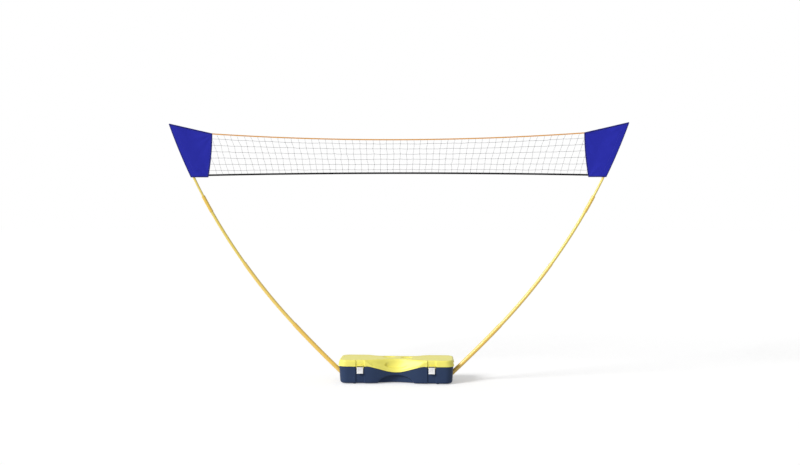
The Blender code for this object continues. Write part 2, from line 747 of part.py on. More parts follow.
def make_latch(side_name, side, base, lid):
    centre = side * LATCH_X
    y, z = latch_axis()
    mesh = extruded_mesh("latch", latch_outline(), centre, LATCH_WIDTH)
    latch = add_part(f"latch_{side_name}", mesh, WHITE_PLASTIC)
    half_channel = CHANNEL_WIDTH / 2
    pin_half = half_channel - RUNNING_GAP
    pin_start, pin_end = (centre - pin_half, y, z), (centre + pin_half, y, z)
    pin = cylinder_mesh("latch_pin", LATCH_PIN_RADIUS, pin_start, pin_end, 12)
    add_part(f"latch_pin_{side_name}", pin, STEEL)
    bore_half = half_channel + CUT_MARGIN
    bore_start, bore_end = (centre - bore_half, y, z), (centre + bore_half, y, z)
    bore_mesh = cylinder_mesh("latch_bore", LATCH_PIN_RADIUS + GAP, bore_start, bore_end, 12)
    bore = add_cutter(f"latch_bore_{side_name}", bore_mesh)
    boolean(latch, bore, "DIFFERENCE")
    # The lid's ledge over the latch, and the two ears that hang from it and carry the pin
    into_wall = CASE_WALL / 2
    front = y - LATCH_PIN_RADIUS - EAR_WALL
    ledge_low = SEAM_HEIGHT + RUNNING_GAP
    ledge = box_mesh(
        "latch_ledge",
        (centre - half_channel - into_wall / 2, front, ledge_low),
        (centre + half_channel + into_wall / 2, CHANNEL_FLOOR_Y + into_wall, ledge_low + LATCH_LEDGE_HEIGHT),
    )
    boolean(lid, add_cutter(f"latch_ledge_{side_name}", ledge), "UNION")
    ear_low = z - LATCH_PIN_RADIUS - EAR_WALL
    ear_back = CHANNEL_FLOOR_Y - GAP
    for ear_name, ear_side in SIDES:
        near, far = sorted((ear_side * (LATCH_WIDTH / 2 + RUNNING_GAP), ear_side * pin_half))
        ear = box_mesh(
            "latch_ear",
            (centre + near, front, ear_low),
            (centre + far, ear_back, ledge_low + LATCH_LEDGE_HEIGHT / 2),
        )
        ear_cutter = add_cutter(f"latch_ear_{ear_name}_{side_name}", ear)
        boolean(ear_cutter, bore, "DIFFERENCE")
        boolean(lid, ear_cutter, "UNION")
    # The catch on the base that the hook snaps under
    hook_top = z + LATCH_KNUCKLE_RADIUS - LATCH_LENGTH + LATCH_HOOK_HEIGHT
    catch_low = hook_top + 2 * RUNNING_GAP
    catch_back = CHANNEL_FLOOR_Y + into_wall + BASE_DRAFT * (SEAM_HEIGHT - catch_low) / SEAM_HEIGHT
    catch = box_mesh(
        "latch_catch",
        (centre - LATCH_CATCH_WIDTH / 2, CHANNEL_FLOOR_Y - LATCH_HOOK, catch_low),
        (centre + LATCH_CATCH_WIDTH / 2, catch_back, catch_low + LATCH_CATCH_HEIGHT),
    )
    boolean(base, add_cutter(f"latch_catch_{side_name}", catch), "UNION")


def make_feet():
    for x_name, x_sign in SIDES:
        for y_name, y_sign in (("front", -1), ("back", 1)):
            x = x_sign * (CASE_LENGTH / 2 - FOOT_FROM_END)
            y = y_sign * (CASE_DEPTH / 2 - FOOT_FROM_SIDE)
            profile = (
                (0.0, FOOT_HEIGHT - GAP),
                (FOOT_RADIUS, FOOT_HEIGHT - GAP),
                (FOOT_RADIUS, FOOT_HEIGHT * 0.3),
                (FOOT_RADIUS - FOOT_HEIGHT * 0.3, 0.0),
                (0.0, 0.0),
            )
            foot = turned_part(f"foot_{y_name}_{x_name}", profile, RUBBER)
            foot.location = (x, y, 0.0)


# Sleeves, for the right-hand side; the left one is mirrored


def sleeve_corners():
    """The tip, inner top, inner bottom and outer bottom corners of the right sleeve, as (x, z)."""
    end, along = pole_point(POLE_LENGTH)
    outward = Vector((along.z, 0, -along.x))
    tip = end + outward * SLEEVE_EDGE_OFFSET + along * SLEEVE_TIP_LENGTH
    inner_top = tip - SLEEVE_TOP_LENGTH * Vector((math.cos(SLEEVE_TOP_SLOPE), 0, math.sin(SLEEVE_TOP_SLOPE)))
    outer_bottom = sleeve_outer_edge(POLE_LENGTH - SLEEVE_OUTER_LENGTH)
    inner_bottom = outer_bottom - Vector((SLEEVE_HEM_LENGTH, 0, 0))
    return tip, inner_top, inner_bottom, outer_bottom


def sleeve_outer_edge(distance):
    place, along = pole_point(distance)
    return place + SLEEVE_EDGE_OFFSET * Vector((along.z, 0, -along.x))


def sleeve_inner_edge(share):
    """A point of the right sleeve's inner edge, from its bottom corner at 0 to its top corner at 1."""
    _, top, bottom, _ = sleeve_corners()
    place = bottom.lerp(top, share)
    place.x -= SLEEVE_INNER_BULGE * 4 * share * (1 - share)
    return place


def sleeve_outline():
    tip, inner_top, _, _ = sleeve_corners()
    first = POLE_LENGTH - SLEEVE_OUTER_LENGTH
    outline = [sleeve_outer_edge(first + SLEEVE_OUTER_LENGTH * i / 5) for i in range(6)]
    outline += [tip, inner_top]
    outline += [sleeve_inner_edge(share) for share in (0.8, 0.6, 0.4, 0.2, 0.0)]
    return outline


def make_sleeve(side_name, side):
    """One closed pocket: a flat panel with a round channel for the pole along its outer edge."""
    bm = bmesh.new()
    bm.faces.new([bm.verts.new((side * point.x, 0, point.z)) for point in sleeve_outline()])
    mesh = mesh_from(bm, "sleeve")
    sleeve = add_part(f"sleeve_{side_name}", mesh, BLUE_FABRIC)
    solidify(sleeve, SLEEVE_THICKNESS, 0.0)
    bore = TUBE_DIAMETERS[3] / 2 + 2 * GAP
    first = POLE_LENGTH - SLEEVE_OUTER_LENGTH
    top = POLE_LENGTH + TIP_CAP_HEAD + 2 * GAP
    channel_points = pole_points(first + SLEEVE_EDGE_OFFSET / 2, top + SLEEVE_FABRIC, side)
    channel = tube_surface("sleeve_channel", channel_points, bore + SLEEVE_FABRIC, caps=True)
    boolean(sleeve, add_cutter(f"sleeve_channel_{side_name}", channel), "UNION")
    hollow_points = pole_points(first - 3 * CUT_MARGIN, top, side)
    hollow = tube_surface("sleeve_hollow", hollow_points, bore, caps=True)
    boolean(sleeve, add_cutter(f"sleeve_hollow_{side_name}", hollow), "DIFFERENCE")
    make_binding(side_name, side)


def make_binding(side_name, side):
    """The tape sewn over the sleeve's top edge."""
    tip, inner_top, _, _ = sleeve_corners()
    along = (inner_top - tip).normalized()
    upward = Vector((along.z, 0, -along.x))
    if upward.z < 0:
        upward = -upward
    low, high = GAP, GAP + BINDING_HEIGHT
    corners = [tip + upward * low, inner_top + upward * low, inner_top + upward * high, tip + upward * high]
    bm = bmesh.new()
    bm.faces.new([bm.verts.new((side * point.x, 0, point.z)) for point in corners])
    binding = add_part(f"sleeve_binding_{side_name}", mesh_from(bm, "binding"), NAVY_BINDING)
    solidify(binding, BINDING_THICKNESS, 0.0)


# Net


def net_edge(height_share, side):
    """The net's end at a share of its height, just clear of the sleeve it is sewn to."""
    place = sleeve_inner_edge(height_share)
    return Vector((side * (place.x - GAP), 0, place.z))


def level_curve(share, height_share):
    """A point of the net's surface: along from left to right, and up from the bottom tape to the top one."""
    left, right = net_edge(height_share, -1), net_edge(height_share, 1)
    place = left.lerp(right, share)
    hang = 4 * share * (1 - share)
    place.z += hang * (BOTTOM_TAPE_RISE * (1 - height_share) - TOP_TAPE_SAG * height_share)
    lean = NET_LEAN * (1 - 2 * share) * min(1.0, share / NET_LEAN_START, (1 - share) / NET_LEAN_START)
    place.x += lean * (0.5 - height_share)
    return place


def net_height():
    """The length of the sleeve's inner edge, which the net and both tapes share."""
    return (sleeve_inner_edge(1.0) - sleeve_inner_edge(0.0)).length


def make_tape(name, finish, low_share):
    bm = bmesh.new()
    rows = []
    for share_up in (low_share, low_share + TAPE_HEIGHT / net_height()):
        rows.append([bm.verts.new(level_curve(i / TAPE_STEPS, share_up)) for i in range(TAPE_STEPS + 1)])
    for i in range(TAPE_STEPS):
        bm.faces.new((rows[0][i], rows[0][i + 1], rows[1][i + 1], rows[1][i]))
    tape = add_part(name, mesh_from(bm, name), finish)
    solidify(tape, TAPE_THICKNESS, 0.0)


def net_share(column):
    """A string's share of the net's length; the outer strings keep clear of the sleeves."""
    margin = NET_STRING / (2 * sleeve_inner_edge(0.5).x)
    return margin + (1 - 2 * margin) * column / NET_COLUMNS


def make_net():
    make_tape("bottom_tape", BLACK_TAPE, 0.0)
    make_tape("top_tape", ORANGE_TAPE, 1 - TAPE_HEIGHT / net_height())
    low = (TAPE_HEIGHT + NET_STRING / 2 + 3 * GAP) / net_height()
    high = 1 - low
    bm = bmesh.new()
    rows = []
    for j in range(NET_ROWS + 1):
        share_up = low + (high - low) * j / NET_ROWS
        rows.append([bm.verts.new(level_curve(net_share(i), share_up)) for i in range(NET_COLUMNS + 1)])
    for lower, upper in zip(rows, rows[1:]):
        for i in range(NET_COLUMNS):
            bm.faces.new((lower[i], lower[i + 1], upper[i + 1], upper[i]))
    net = add_part("net_mesh", mesh_from(bm, "net_mesh"), NET_CORD)
    wire = net.modifiers.new("strings", "WIREFRAME")
    wire.thickness = NET_STRING
    wire.offset = 0.0
    wire.use_boundary = True
    wire.use_replace = True
    wire.use_even_offset = False


def main():
    holes = [make_socket(name, side) for name, side in SIDES]
    base, lid = make_shells(holes)
    for name, side in SIDES:
        make_hinge(name, side, base, lid)
        make_latch(name, side, base, lid)
        make_pole(name, side)
        make_sleeve(name, side)
    make_feet()
    make_net()


main()
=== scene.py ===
# %% [markdown]
# # A portable badminton net
# The real thing packs into its own case: the closed case is the foot, two telescoping poles stand in its
# ends, and fabric sleeves over their tips stretch the net. The solid model of it is loaded as a fixed
# frame. This lesson then makes the surfaces that show: moulded shells, lacquered tubes, cloth, webbing
# and knotted twine. Everything is in metres, with +Z up, and the front of the case faces -Y.

# %% Load the frame
import math
import random

import bmesh
import bpy
from mathutils import Matrix, Vector


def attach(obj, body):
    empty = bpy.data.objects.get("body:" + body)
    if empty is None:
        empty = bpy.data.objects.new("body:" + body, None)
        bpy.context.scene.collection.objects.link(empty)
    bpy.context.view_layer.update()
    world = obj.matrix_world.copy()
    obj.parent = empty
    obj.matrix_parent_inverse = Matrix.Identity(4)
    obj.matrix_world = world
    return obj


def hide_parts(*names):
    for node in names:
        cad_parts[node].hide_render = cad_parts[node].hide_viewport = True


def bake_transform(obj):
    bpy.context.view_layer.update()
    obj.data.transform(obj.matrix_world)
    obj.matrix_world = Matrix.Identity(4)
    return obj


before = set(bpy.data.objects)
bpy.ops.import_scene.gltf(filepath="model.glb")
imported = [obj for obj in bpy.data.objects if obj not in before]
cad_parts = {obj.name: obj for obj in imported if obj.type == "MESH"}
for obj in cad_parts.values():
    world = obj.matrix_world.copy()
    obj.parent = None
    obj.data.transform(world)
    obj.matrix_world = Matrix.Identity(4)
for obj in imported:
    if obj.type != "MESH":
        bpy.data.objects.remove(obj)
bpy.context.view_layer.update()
SIDES = (("left", -1), ("right", 1))

# %% [markdown]
# ## Camera
# The photo was taken from about seven metres, a little to the right of the middle and with the lens 1.2 m
# up. The horizon lies above the middle of the picture, yet upright things stay upright, as when a picture is
# cropped from a level shot. So the camera is level too, and its lens is shifted by just that much.

# %% Camera
PICTURE_WIDTH = 800
FOCAL_PIXELS = 1077
HORIZON_ABOVE_MIDDLE = 37.5  # pixels
SENSOR_MM = 36.0
CAMERA_DISTANCE = 7.0
CAMERA_HEIGHT = 1.210
CAMERA_AZIMUTH = math.radians(2.7)
AIM_RIGHT = 0.021

camera_data = bpy.data.cameras.new("camera")
camera_data.sensor_width = SENSOR_MM
camera_data.lens = SENSOR_MM * FOCAL_PIXELS / PICTURE_WIDTH
camera_data.shift_y = -HORIZON_ABOVE_MIDDLE / PICTURE_WIDTH
camera = bpy.data.objects.new("camera", camera_data)
bpy.context.scene.collection.objects.link(camera)
rightward = Vector((math.cos(CAMERA_AZIMUTH), math.sin(CAMERA_AZIMUTH), 0))
forward = Vector((-math.sin(CAMERA_AZIMUTH), math.cos(CAMERA_AZIMUTH), 0))
camera.location = rightward * AIM_RIGHT - forward * CAMERA_DISTANCE + Vector((0, 0, CAMERA_HEIGHT))
camera.rotation_euler = (math.pi / 2, 0, CAMERA_AZIMUTH)
bpy.context.scene.camera = camera
print(f"lens {camera_data.lens:.1f} mm at {CAMERA_DISTANCE} m")

# %% [markdown]
# ## Light
# A product photo like this one is lit from all round, with one broad lamp high on the left: the hollows of
# the case are dark on their left side. A pale even world does the first and one wide sun does the second.
# The world looks white where it is seen directly, but lights the object only as much as a pale room would.

# %% Light
AMBIENT = 0.36
SUN_STRENGTH = 2.8
SUN_ANGLE = math.radians(20)
SUN_FROM = Vector((-0.68, -0.55, 0.51))


def seen_directly(tree):
    """1 where a surface is seen by the camera or in something glossy, and 0 for all other light."""
    path = tree.nodes.new("ShaderNodeLightPath")
    seen = tree.nodes.new("ShaderNodeMath")
    seen.operation = "MAXIMUM"
    tree.links.new(path.outputs["Is Camera Ray"], seen.inputs[0])
    tree.links.new(path.outputs["Is Glossy Ray"], seen.inputs[1])
    return seen.outputs[0]


bpy.context.scene.view_settings.view_transform = "Standard"
world = bpy.data.worlds.new("pale_room")
bpy.context.scene.world = world
world.use_nodes = True
tree = world.node_tree
room = tree.nodes["Background"]
room.inputs["Strength"].default_value = AMBIENT
room.inputs["Color"].default_value = (1, 1, 1, 1)
white = tree.nodes.new("ShaderNodeBackground")
white.inputs["Color"].default_value = (1, 1, 1, 1)
choose = tree.nodes.new("ShaderNodeMixShader")
tree.links.new(seen_directly(tree), choose.inputs["Fac"])
tree.links.new(room.outputs[0], choose.inputs[1])
tree.links.new(white.outputs[0], choose.inputs[2])
tree.links.new(choose.outputs[0], tree.nodes["World Output"].inputs["Surface"])

sun_data = bpy.data.lights.new("sun", "SUN")
sun_data.energy = SUN_STRENGTH
sun_data.angle = SUN_ANGLE
sun = bpy.data.objects.new("sun", sun_data)
sun.rotation_euler = SUN_FROM.to_track_quat("Z", "Y").to_euler()
bpy.context.scene.collection.objects.link(sun)
print("world", AMBIENT, "sun", SUN_STRENGTH)

# %% [markdown]
# ## Floor
# The floor is plain pale paint, which takes the object's shadow. Paint alone would come out grey, and more
# light would bleach the object. So where the floor is seen directly it glows by just what it lacks to white.

# %% Floor
FLOOR_COLOUR = (0.80, 0.80, 0.80, 1.0)
FLOOR_LIFT = 0.36
FLOOR_SIZE = 60.0

paint = bpy.data.materials.new("floor_paint")
paint.use_nodes = True
tree = paint.node_tree
tree.nodes.remove(tree.nodes["Principled BSDF"])
flat = tree.nodes.new("ShaderNodeBsdfDiffuse")
flat.inputs["Color"].default_value = FLOOR_COLOUR
glow = tree.nodes.new("ShaderNodeEmission")
lift = tree.nodes.new("ShaderNodeMath")
lift.operation = "MULTIPLY"
lift.inputs[1].default_value = FLOOR_LIFT
both = tree.nodes.new("ShaderNodeAddShader")
tree.links.new(seen_directly(tree), lift.inputs[0])
tree.links.new(lift.outputs[0], glow.inputs["Strength"])
tree.links.new(flat.outputs[0], both.inputs[0])
tree.links.new(glow.outputs[0], both.inputs[1])
tree.links.new(both.outputs[0], tree.nodes["Material Output"].inputs["Surface"])

bm = bmesh.new()
bmesh.ops.create_grid(bm, x_segments=1, y_segments=1, size=FLOOR_SIZE / 2)
floor_mesh = bpy.data.meshes.new("floor")
bm.to_mesh(floor_mesh)
bm.free()
floor_mesh.materials.append(paint)
floor = bpy.data.objects.new("floor", floor_mesh)
bpy.context.scene.collection.objects.link(floor)
print("floor lift:", FLOOR_LIFT)

# %% [markdown]
# ## Helpers for finishes
# Each finish is a Principled shader with textures in the piece's own metres, so that a pattern keeps its
# size and rides along with its piece. Colours are written as the 0 to 255 values that a picture shows,
# and turned into the linear values that a renderer adds up.

# %% Helpers for finishes
WAVE_PERIOD = math.tau / 20  # a wave texture of scale 1 repeats after this many metres


def colour(red, green, blue):
    """A picture's 0 to 255 colour as a linear one."""
    shares = [value / 255 for value in (red, green, blue)]
    return tuple(s / 12.92 if s <= 0.04045 else ((s + 0.055) / 1.055) ** 2.4 for s in shares)


def new_finish(name, base, roughness, metallic=0.0):
    finish = bpy.data.materials.new(name)
    finish.use_nodes = True
    shader = finish.node_tree.nodes["Principled BSDF"]
    shader.inputs["Base Color"].default_value = (*base, 1.0)
    shader.inputs["Roughness"].default_value = roughness
    shader.inputs["Metallic"].default_value = metallic
    return finish


def shader_of(finish):
    return finish.node_tree.nodes["Principled BSDF"]


def add_node(finish, kind, **sockets):
    node = finish.node_tree.nodes.new(kind)
    for socket, value in sockets.items():
        node.inputs[socket].default_value = value
    return node


def metres(finish, stretch=(1, 1, 1)):
    """The piece's own coordinates, stretched."""
    place = add_node(finish, "ShaderNodeTexCoord")
    mapping = add_node(finish, "ShaderNodeMapping", Scale=stretch)
    finish.node_tree.links.new(place.outputs["Object"], mapping.inputs["Vector"])
    return mapping.outputs["Vector"]


def cloud(finish, where, scale, detail=2.0):
    node = add_node(finish, "ShaderNodeTexNoise", Scale=scale, Detail=detail)
    finish.node_tree.links.new(where, node.inputs["Vector"])
    return node.outputs["Fac"]


def ripple(finish, where, period, direction):
    node = add_node(finish, "ShaderNodeTexWave", Scale=WAVE_PERIOD / period)
    node.bands_direction = direction
    finish.node_tree.links.new(where, node.inputs["Vector"])
    return node.outputs["Fac"]


def add_up(finish, first, second):
    node = add_node(finish, "ShaderNodeMath")
    node.operation = "ADD"
    finish.node_tree.links.new(first, node.inputs[0])
    finish.node_tree.links.new(second, node.inputs[1])
    return node.outputs[0]


print("texture helpers ready")

# %% [markdown]
# A texture is a number from 0 to 1 at every place of the piece. These three put it to use. The first blends
# two near colours by it, the second lets the gloss wander, and the third reads it as a height and tilts the
# light by it, which the eye takes for grain or weave.

# %% Colour, gloss and relief


def tint(finish, factor, dark, light):
    """The base colour runs from dark to light with a texture."""
    node = add_node(finish, "ShaderNodeMix")
    node.data_type = "RGBA"
    colours = [socket for socket in node.inputs if socket.type == "RGBA"]
    colours[0].default_value = (*dark, 1.0)
    colours[1].default_value = (*light, 1.0)
    finish.node_tree.links.new(factor, node.inputs["Factor"])
    result = next(socket for socket in node.outputs if socket.type == "RGBA")
    finish.node_tree.links.new(result, shader_of(finish).inputs["Base Color"])


def vary_roughness(finish, factor, low, high):
    node = add_node(finish, "ShaderNodeMapRange")
    node.inputs["To Min"].default_value = low
    node.inputs["To Max"].default_value = high
    finish.node_tree.links.new(factor, node.inputs["Value"])
    finish.node_tree.links.new(node.outputs["Result"], shader_of(finish).inputs["Roughness"])


def relief(finish, height, depth, strength=1.0):
    """Raises the surface by a texture, on top of any relief that is there already."""
    node = add_node(finish, "ShaderNodeBump", Strength=strength, Distance=depth)
    finish.node_tree.links.new(height, node.inputs["Height"])
    normal = shader_of(finish).inputs["Normal"]
    if normal.is_linked:
        finish.node_tree.links.new(normal.links[0].from_socket, node.inputs["Normal"])
    finish.node_tree.links.new(node.outputs["Normal"], normal)


print("finish helpers ready")

# %% [markdown]
# ## Helpers for pieces
# Every piece is a mesh in the shared frame, with its object at the origin. Blender can round such meshes
# with modifiers, but the frame wants finished meshes, so a modifier is used and then made part of the mesh.
# The net stands the same on both sides, so a right-hand piece is made and its mirror image is the left one.

# %% Helpers for pieces


def mesh_of(bm, name, side=1):
    """The finished mesh, mirrored for the left side."""
    if side < 0:
        for vert in bm.verts:
            vert.co.x = -vert.co.x
    bmesh.ops.recalc_face_normals(bm, faces=bm.faces)
    mesh = bpy.data.meshes.new(name)
    bm.to_mesh(mesh)
    bm.free()
    return mesh


def add_piece(name, mesh, finish, body=None, instead_of=(), crease=35):
    """A smooth-shaded piece that rides on a body and stands for CAD nodes."""
    mesh.materials.clear()
    mesh.materials.append(finish)
    mesh.shade_smooth()
    mesh.set_sharp_from_angle(angle=math.radians(crease))
    piece = bpy.data.objects.new(name, mesh)
    bpy.context.scene.collection.objects.link(piece)
    if body:
        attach(piece, body)
    if instead_of:
        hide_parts(*instead_of)
    return piece


def settle(piece, crease=35):
    """Makes a piece's modifiers part of its mesh."""
    bpy.context.view_layer.update()
    graph = bpy.context.evaluated_depsgraph_get()
    mesh = bpy.data.meshes.new_from_object(piece.evaluated_get(graph))
    piece.modifiers.clear()
    rough = piece.data
    piece.data = mesh
    bpy.data.meshes.remove(rough)
    mesh.set_sharp_from_angle(angle=math.radians(crease))


def cut(piece, meshes, crease=35):
    """Cuts closed meshes out of a piece."""
    cutters = []
    for mesh in meshes:
        cutter = bpy.data.objects.new("cutter", mesh)
        bpy.context.scene.collection.objects.link(cutter)
        modifier = piece.modifiers.new("cut", "BOOLEAN")
        modifier.operation = "DIFFERENCE"
        modifier.object = cutter
        cutters.append(cutter)
    settle(piece, crease)
    for cutter in cutters:
        mesh = cutter.data
        bpy.data.objects.remove(cutter, do_unlink=True)
        bpy.data.meshes.remove(mesh)


print("piece helpers ready")

# %% [markdown]
# Most shapes here are rows of points joined by quads, because rows can follow a line, such as a bowed pole or
# a hanging tape, and it is plain where every edge of the mesh runs. A bar is closed at both ends. A curve
# with a bevel would do for a string too, but it would still have to be made into a mesh.

# %% Rows, bars and strings
STRING_SIDES = 6


def bridge(bm, rows, around=True, closed=False):
    """Quads between rows of points of equal count; if closed, the last row is joined to the first."""
    rows = [[bm.verts.new(point) for point in row] for row in rows]
    count = len(rows[0])
    for lower, upper in zip(rows, rows[1:] + (rows[:1] if closed else [])):
        for i in range(count if around else count - 1):
            j = (i + 1) % count
            bm.faces.new((lower[i], lower[j], upper[j], upper[i]))
    return rows


def closed_bar(bm, rows):
    """Rows bridged all round, with a face over the first and the last."""
    rows = bridge(bm, rows)
    bm.faces.new(rows[0][::-1])
    bm.faces.new(rows[-1])


def sweep(bm, frames, outline):
    """A closed outline of (across, up) points carried along frames of (place, across, up)."""
    closed_bar(bm, [[place + across * u + up * v for u, v in outline] for place, across, up in frames])


def circle(radius, sides):
    angles = [math.tau * i / sides for i in range(sides)]
    return [(radius * math.cos(angle), radius * math.sin(angle)) for angle in angles]


def headings(points):
    """The direction of a line at each of its points."""
    ahead = points[1:] + points[-1:]
    behind = points[:1] + points[:-1]
    return [(after - before).normalized() for after, before in zip(ahead, behind)]


def string(bm, points, radius):
    """A round string through points that lie near the plane of the net."""
    frames = []
    for point, along in zip(points, headings(points)):
        across = Vector((-along.z, 0, along.x)).normalized()
        frames.append((point, across, across.cross(along)))
    sweep(bm, frames, circle(radius, STRING_SIDES))


print("row helpers ready")

# %% [markdown]
# Small hardware starts from boxes and cylinders, whose sharp edges are then rounded. The last three functions
# are for shaping: a blend from one value to another, a smooth step and a smooth bell, so that no hollow
# starts with a kink.

# %% Small solids and smooth steps
SHARP_ANGLE = math.radians(30)
ROUNDING_PROFILE = 0.6


def block(bm, low, high):
    """A box between two corners."""
    size = [b - a for a, b in zip(low, high)]
    centre = [(a + b) / 2 for a, b in zip(low, high)]
    place = Matrix.Translation(centre) @ Matrix.Diagonal((*size, 1))
    return bmesh.ops.create_cube(bm, size=1.0, matrix=place)["verts"]


def soften(bm, radius):
    """Rounds a mesh's sharp edges."""
    sharp = [edge for edge in bm.edges if edge.is_manifold and edge.calc_face_angle(0) > SHARP_ANGLE]
    bmesh.ops.bevel(
        bm,
        geom=sharp,
        offset=radius,
        segments=2,
        profile=ROUNDING_PROFILE,
        affect="EDGES",
        clamp_overlap=True,
    )


def rod(name, radius, start, end, sides=24):
    """A closed cylinder between two points."""
    start, end = Vector(start), Vector(end)
    along = end - start
    place = Matrix.Translation((start + end) / 2) @ along.to_track_quat("Z", "X").to_matrix().to_4x4()
    bm = bmesh.new()
    bmesh.ops.create_cone(
        bm, cap_ends=True, segments=sides, radius1=radius, radius2=radius, depth=along.length, matrix=place
    )
    return mesh_of(bm, name)


def between(start, end, share):
    """The start at a share of 0 and the end at a share of 1."""
    return start * (1 - share) + end * share


def ease(share):
    """A smooth step from 0 to 1."""
    share = min(max(share, 0.0), 1.0)
    return share * share * (3 - 2 * share)


def bell(share):
    """1 in the middle, falling smoothly to 0 at a share of 1 either way."""
    return 0.5 + 0.5 * math.cos(math.pi * share) if abs(share) < 1 else 0.0


print("shaping helpers ready")

# %% [markdown]
# ## Plastic, lacquer, metal and rubber
# The case is moulded plastic with a fine spark-eroded grain: a dense small bump, and a roughness that
# wanders a little, because nobody moulds a perfectly even gloss. The poles are lacquered tubes with faint
# lengthwise streaks. Each tube is a slightly different yellow, the lower ones a little more orange, so each
# gets its own finish from one function.

# %% Plastic, lacquer, metal and rubber
GRAINS_PER_METRE = 1400.0
STREAKS_PER_METRE = (700, 1100, 160)
TURNING_MARKS_PER_METRE = (400, 3000, 3000)


def moulded(name, dark, light, roughness, grain, gloss=0.45):
    """Grained plastic between two near colours; grain is the depth of the grain."""
    dark = colour(*dark)
    light = colour(*light)
    finish = new_finish(name, dark, roughness)
    where = metres(finish)
    tint(finish, cloud(finish, where, 14.0, 3.0), dark, light)
    vary_roughness(finish, cloud(finish, where, 60.0, 3.0), roughness - 0.06, roughness + 0.08)
    relief(finish, cloud(finish, where, GRAINS_PER_METRE, 1.0), grain, 0.5)
    shader_of(finish).inputs["Specular IOR Level"].default_value = gloss
    return finish


YELLOW_PLASTIC = moulded("yellow_grained_plastic", (238, 229, 106), (244, 236, 115), 0.42, 0.00008)
NAVY_PLASTIC = moulded("navy_grained_plastic", (43, 57, 86), (49, 65, 95), 0.46, 0.00010, 0.10)
WHITE_PLASTIC = moulded("white_plastic", (228, 228, 229), (233, 232, 233), 0.34, 0.00003)
BLACK_PLASTIC = moulded("black_plastic", (30, 30, 32), (38, 38, 40), 0.45, 0.00005)
RUBBER = moulded("foot_rubber", (34, 34, 36), (48, 48, 50), 0.80, 0.00012)


def lacquer(name, base):
    """Gloss paint on a tube, with faint streaks that run up the pole."""
    base = colour(*base)
    finish = new_finish(name, base, 0.32)
    darker = tuple(0.90 * value for value in base)
    lighter = tuple(min(1.06 * value, 0.95) for value in base)
    where = metres(finish)
    tint(finish, cloud(finish, where, 45.0, 4.0), darker, lighter)
    vary_roughness(finish, cloud(finish, where, 90.0, 3.0), 0.26, 0.42)
    relief(finish, cloud(finish, metres(finish, STREAKS_PER_METRE), 1.0, 2.0), 0.00006, 0.6)
    shader_of(finish).inputs["Coat Weight"].default_value = 0.25
    shader_of(finish).inputs["Coat Roughness"].default_value = 0.15
    return finish


LACQUERS = {
    "lower": lacquer("lower_pole_lacquer", (242, 201, 92)),
    "middle": lacquer("middle_pole_lacquer", (241, 208, 104)),
    "upper": lacquer("upper_pole_lacquer", (236, 210, 101)),
    "tip": lacquer("tip_pole_lacquer", (234, 210, 104)),
    "collar": lacquer("collar_lacquer", (238, 200, 84)),
}
STEEL = new_finish("turned_steel", colour(196, 197, 200), 0.30, 1.0)
relief(STEEL, cloud(STEEL, metres(STEEL, TURNING_MARKS_PER_METRE), 1.0, 2.0), 0.00003, 0.5)
vary_roughness(STEEL, cloud(STEEL, metres(STEEL), 300.0, 2.0), 0.24, 0.40)
print("hard finishes:", len(LACQUERS) + 6)

# %% [markdown]
# ## Cloth, webbing and twine
# The sleeves are a dense blue polyester, so the weave is two ripples at right angles, well under a
# millimetre apart, with a little sheen. Tapes and bindings are webbing, with a coarser weave. The net is
# twisted twine, whose strands make slanting ribs.

# %% Cloth, webbing and twine
THREAD_TWIST = 0.0005
TWINE_TWIST = 0.0009


def woven(name, dark, light, period, depth, sheen):
    """Cloth with a plain weave in the XZ plane, which the net hangs in."""
    dark = colour(*dark)
    light = colour(*light)
    finish = new_finish(name, dark, 0.85)
    where = metres(finish)
    tint(finish, cloud(finish, where, 22.0, 4.0), dark, light)
    weave = add_up(finish, ripple(finish, where, period, "X"), ripple(finish, where, period, "Z"))
    relief(finish, weave, depth, 0.6)
    vary_roughness(finish, cloud(finish, where, 180.0, 2.0), 0.72, 0.92)
    shader_of(finish).inputs["Sheen Weight"].default_value = sheen
    shader_of(finish).inputs["Sheen Roughness"].default_value = 0.5
    shader_of(finish).inputs["Specular IOR Level"].default_value = 0.2
    return finish


def thread(name, base, roughness):
    """Sewing thread, whose twist makes slanting ribs."""
    finish = new_finish(name, colour(*base), roughness)
    relief(finish, ripple(finish, metres(finish), THREAD_TWIST, "DIAGONAL"), 0.0001, 0.7)
    return finish


BLUE_CLOTH = woven("blue_polyester", (29, 34, 155), (36, 41, 167), 0.0007, 0.00012, 0.05)
NAVY_BINDING = woven("navy_binding_tape", (22, 25, 105), (28, 31, 118), 0.0012, 0.00015, 0.05)
ORANGE_WEBBING = woven("orange_webbing", (216, 156, 80), (226, 168, 96), 0.0016, 0.00020, 0.05)
BLACK_WEBBING = woven("black_webbing", (6, 6, 7), (14, 14, 15), 0.0016, 0.00020, 0.0)
# Lighter than the cloth partly as a painted highlight for the light lines along the folded edges.
BLUE_THREAD_AND_EDGE_HIGHLIGHT = thread("blue_thread_and_edge_highlight", (74, 76, 186), 0.75)
TWINE = new_finish("net_twine", colour(66, 66, 70), 0.80)
tint(TWINE, cloud(TWINE, metres(TWINE), 160.0, 2.0), colour(56, 56, 60), colour(92, 92, 96))
relief(TWINE, ripple(TWINE, metres(TWINE), TWINE_TWIST, "DIAGONAL"), 0.00015, 0.8)
print("soft finishes: 6")

# %% [markdown]
# ## The case's plan
# Both shells of the case share one plan: a long box with round corners, whose front and back are pinched to
# a waist in the middle. It is written as a loop of stations, close together where something small happens,
# such as the edges of the two latch channels, and each height of a shell is that loop pushed in or out.

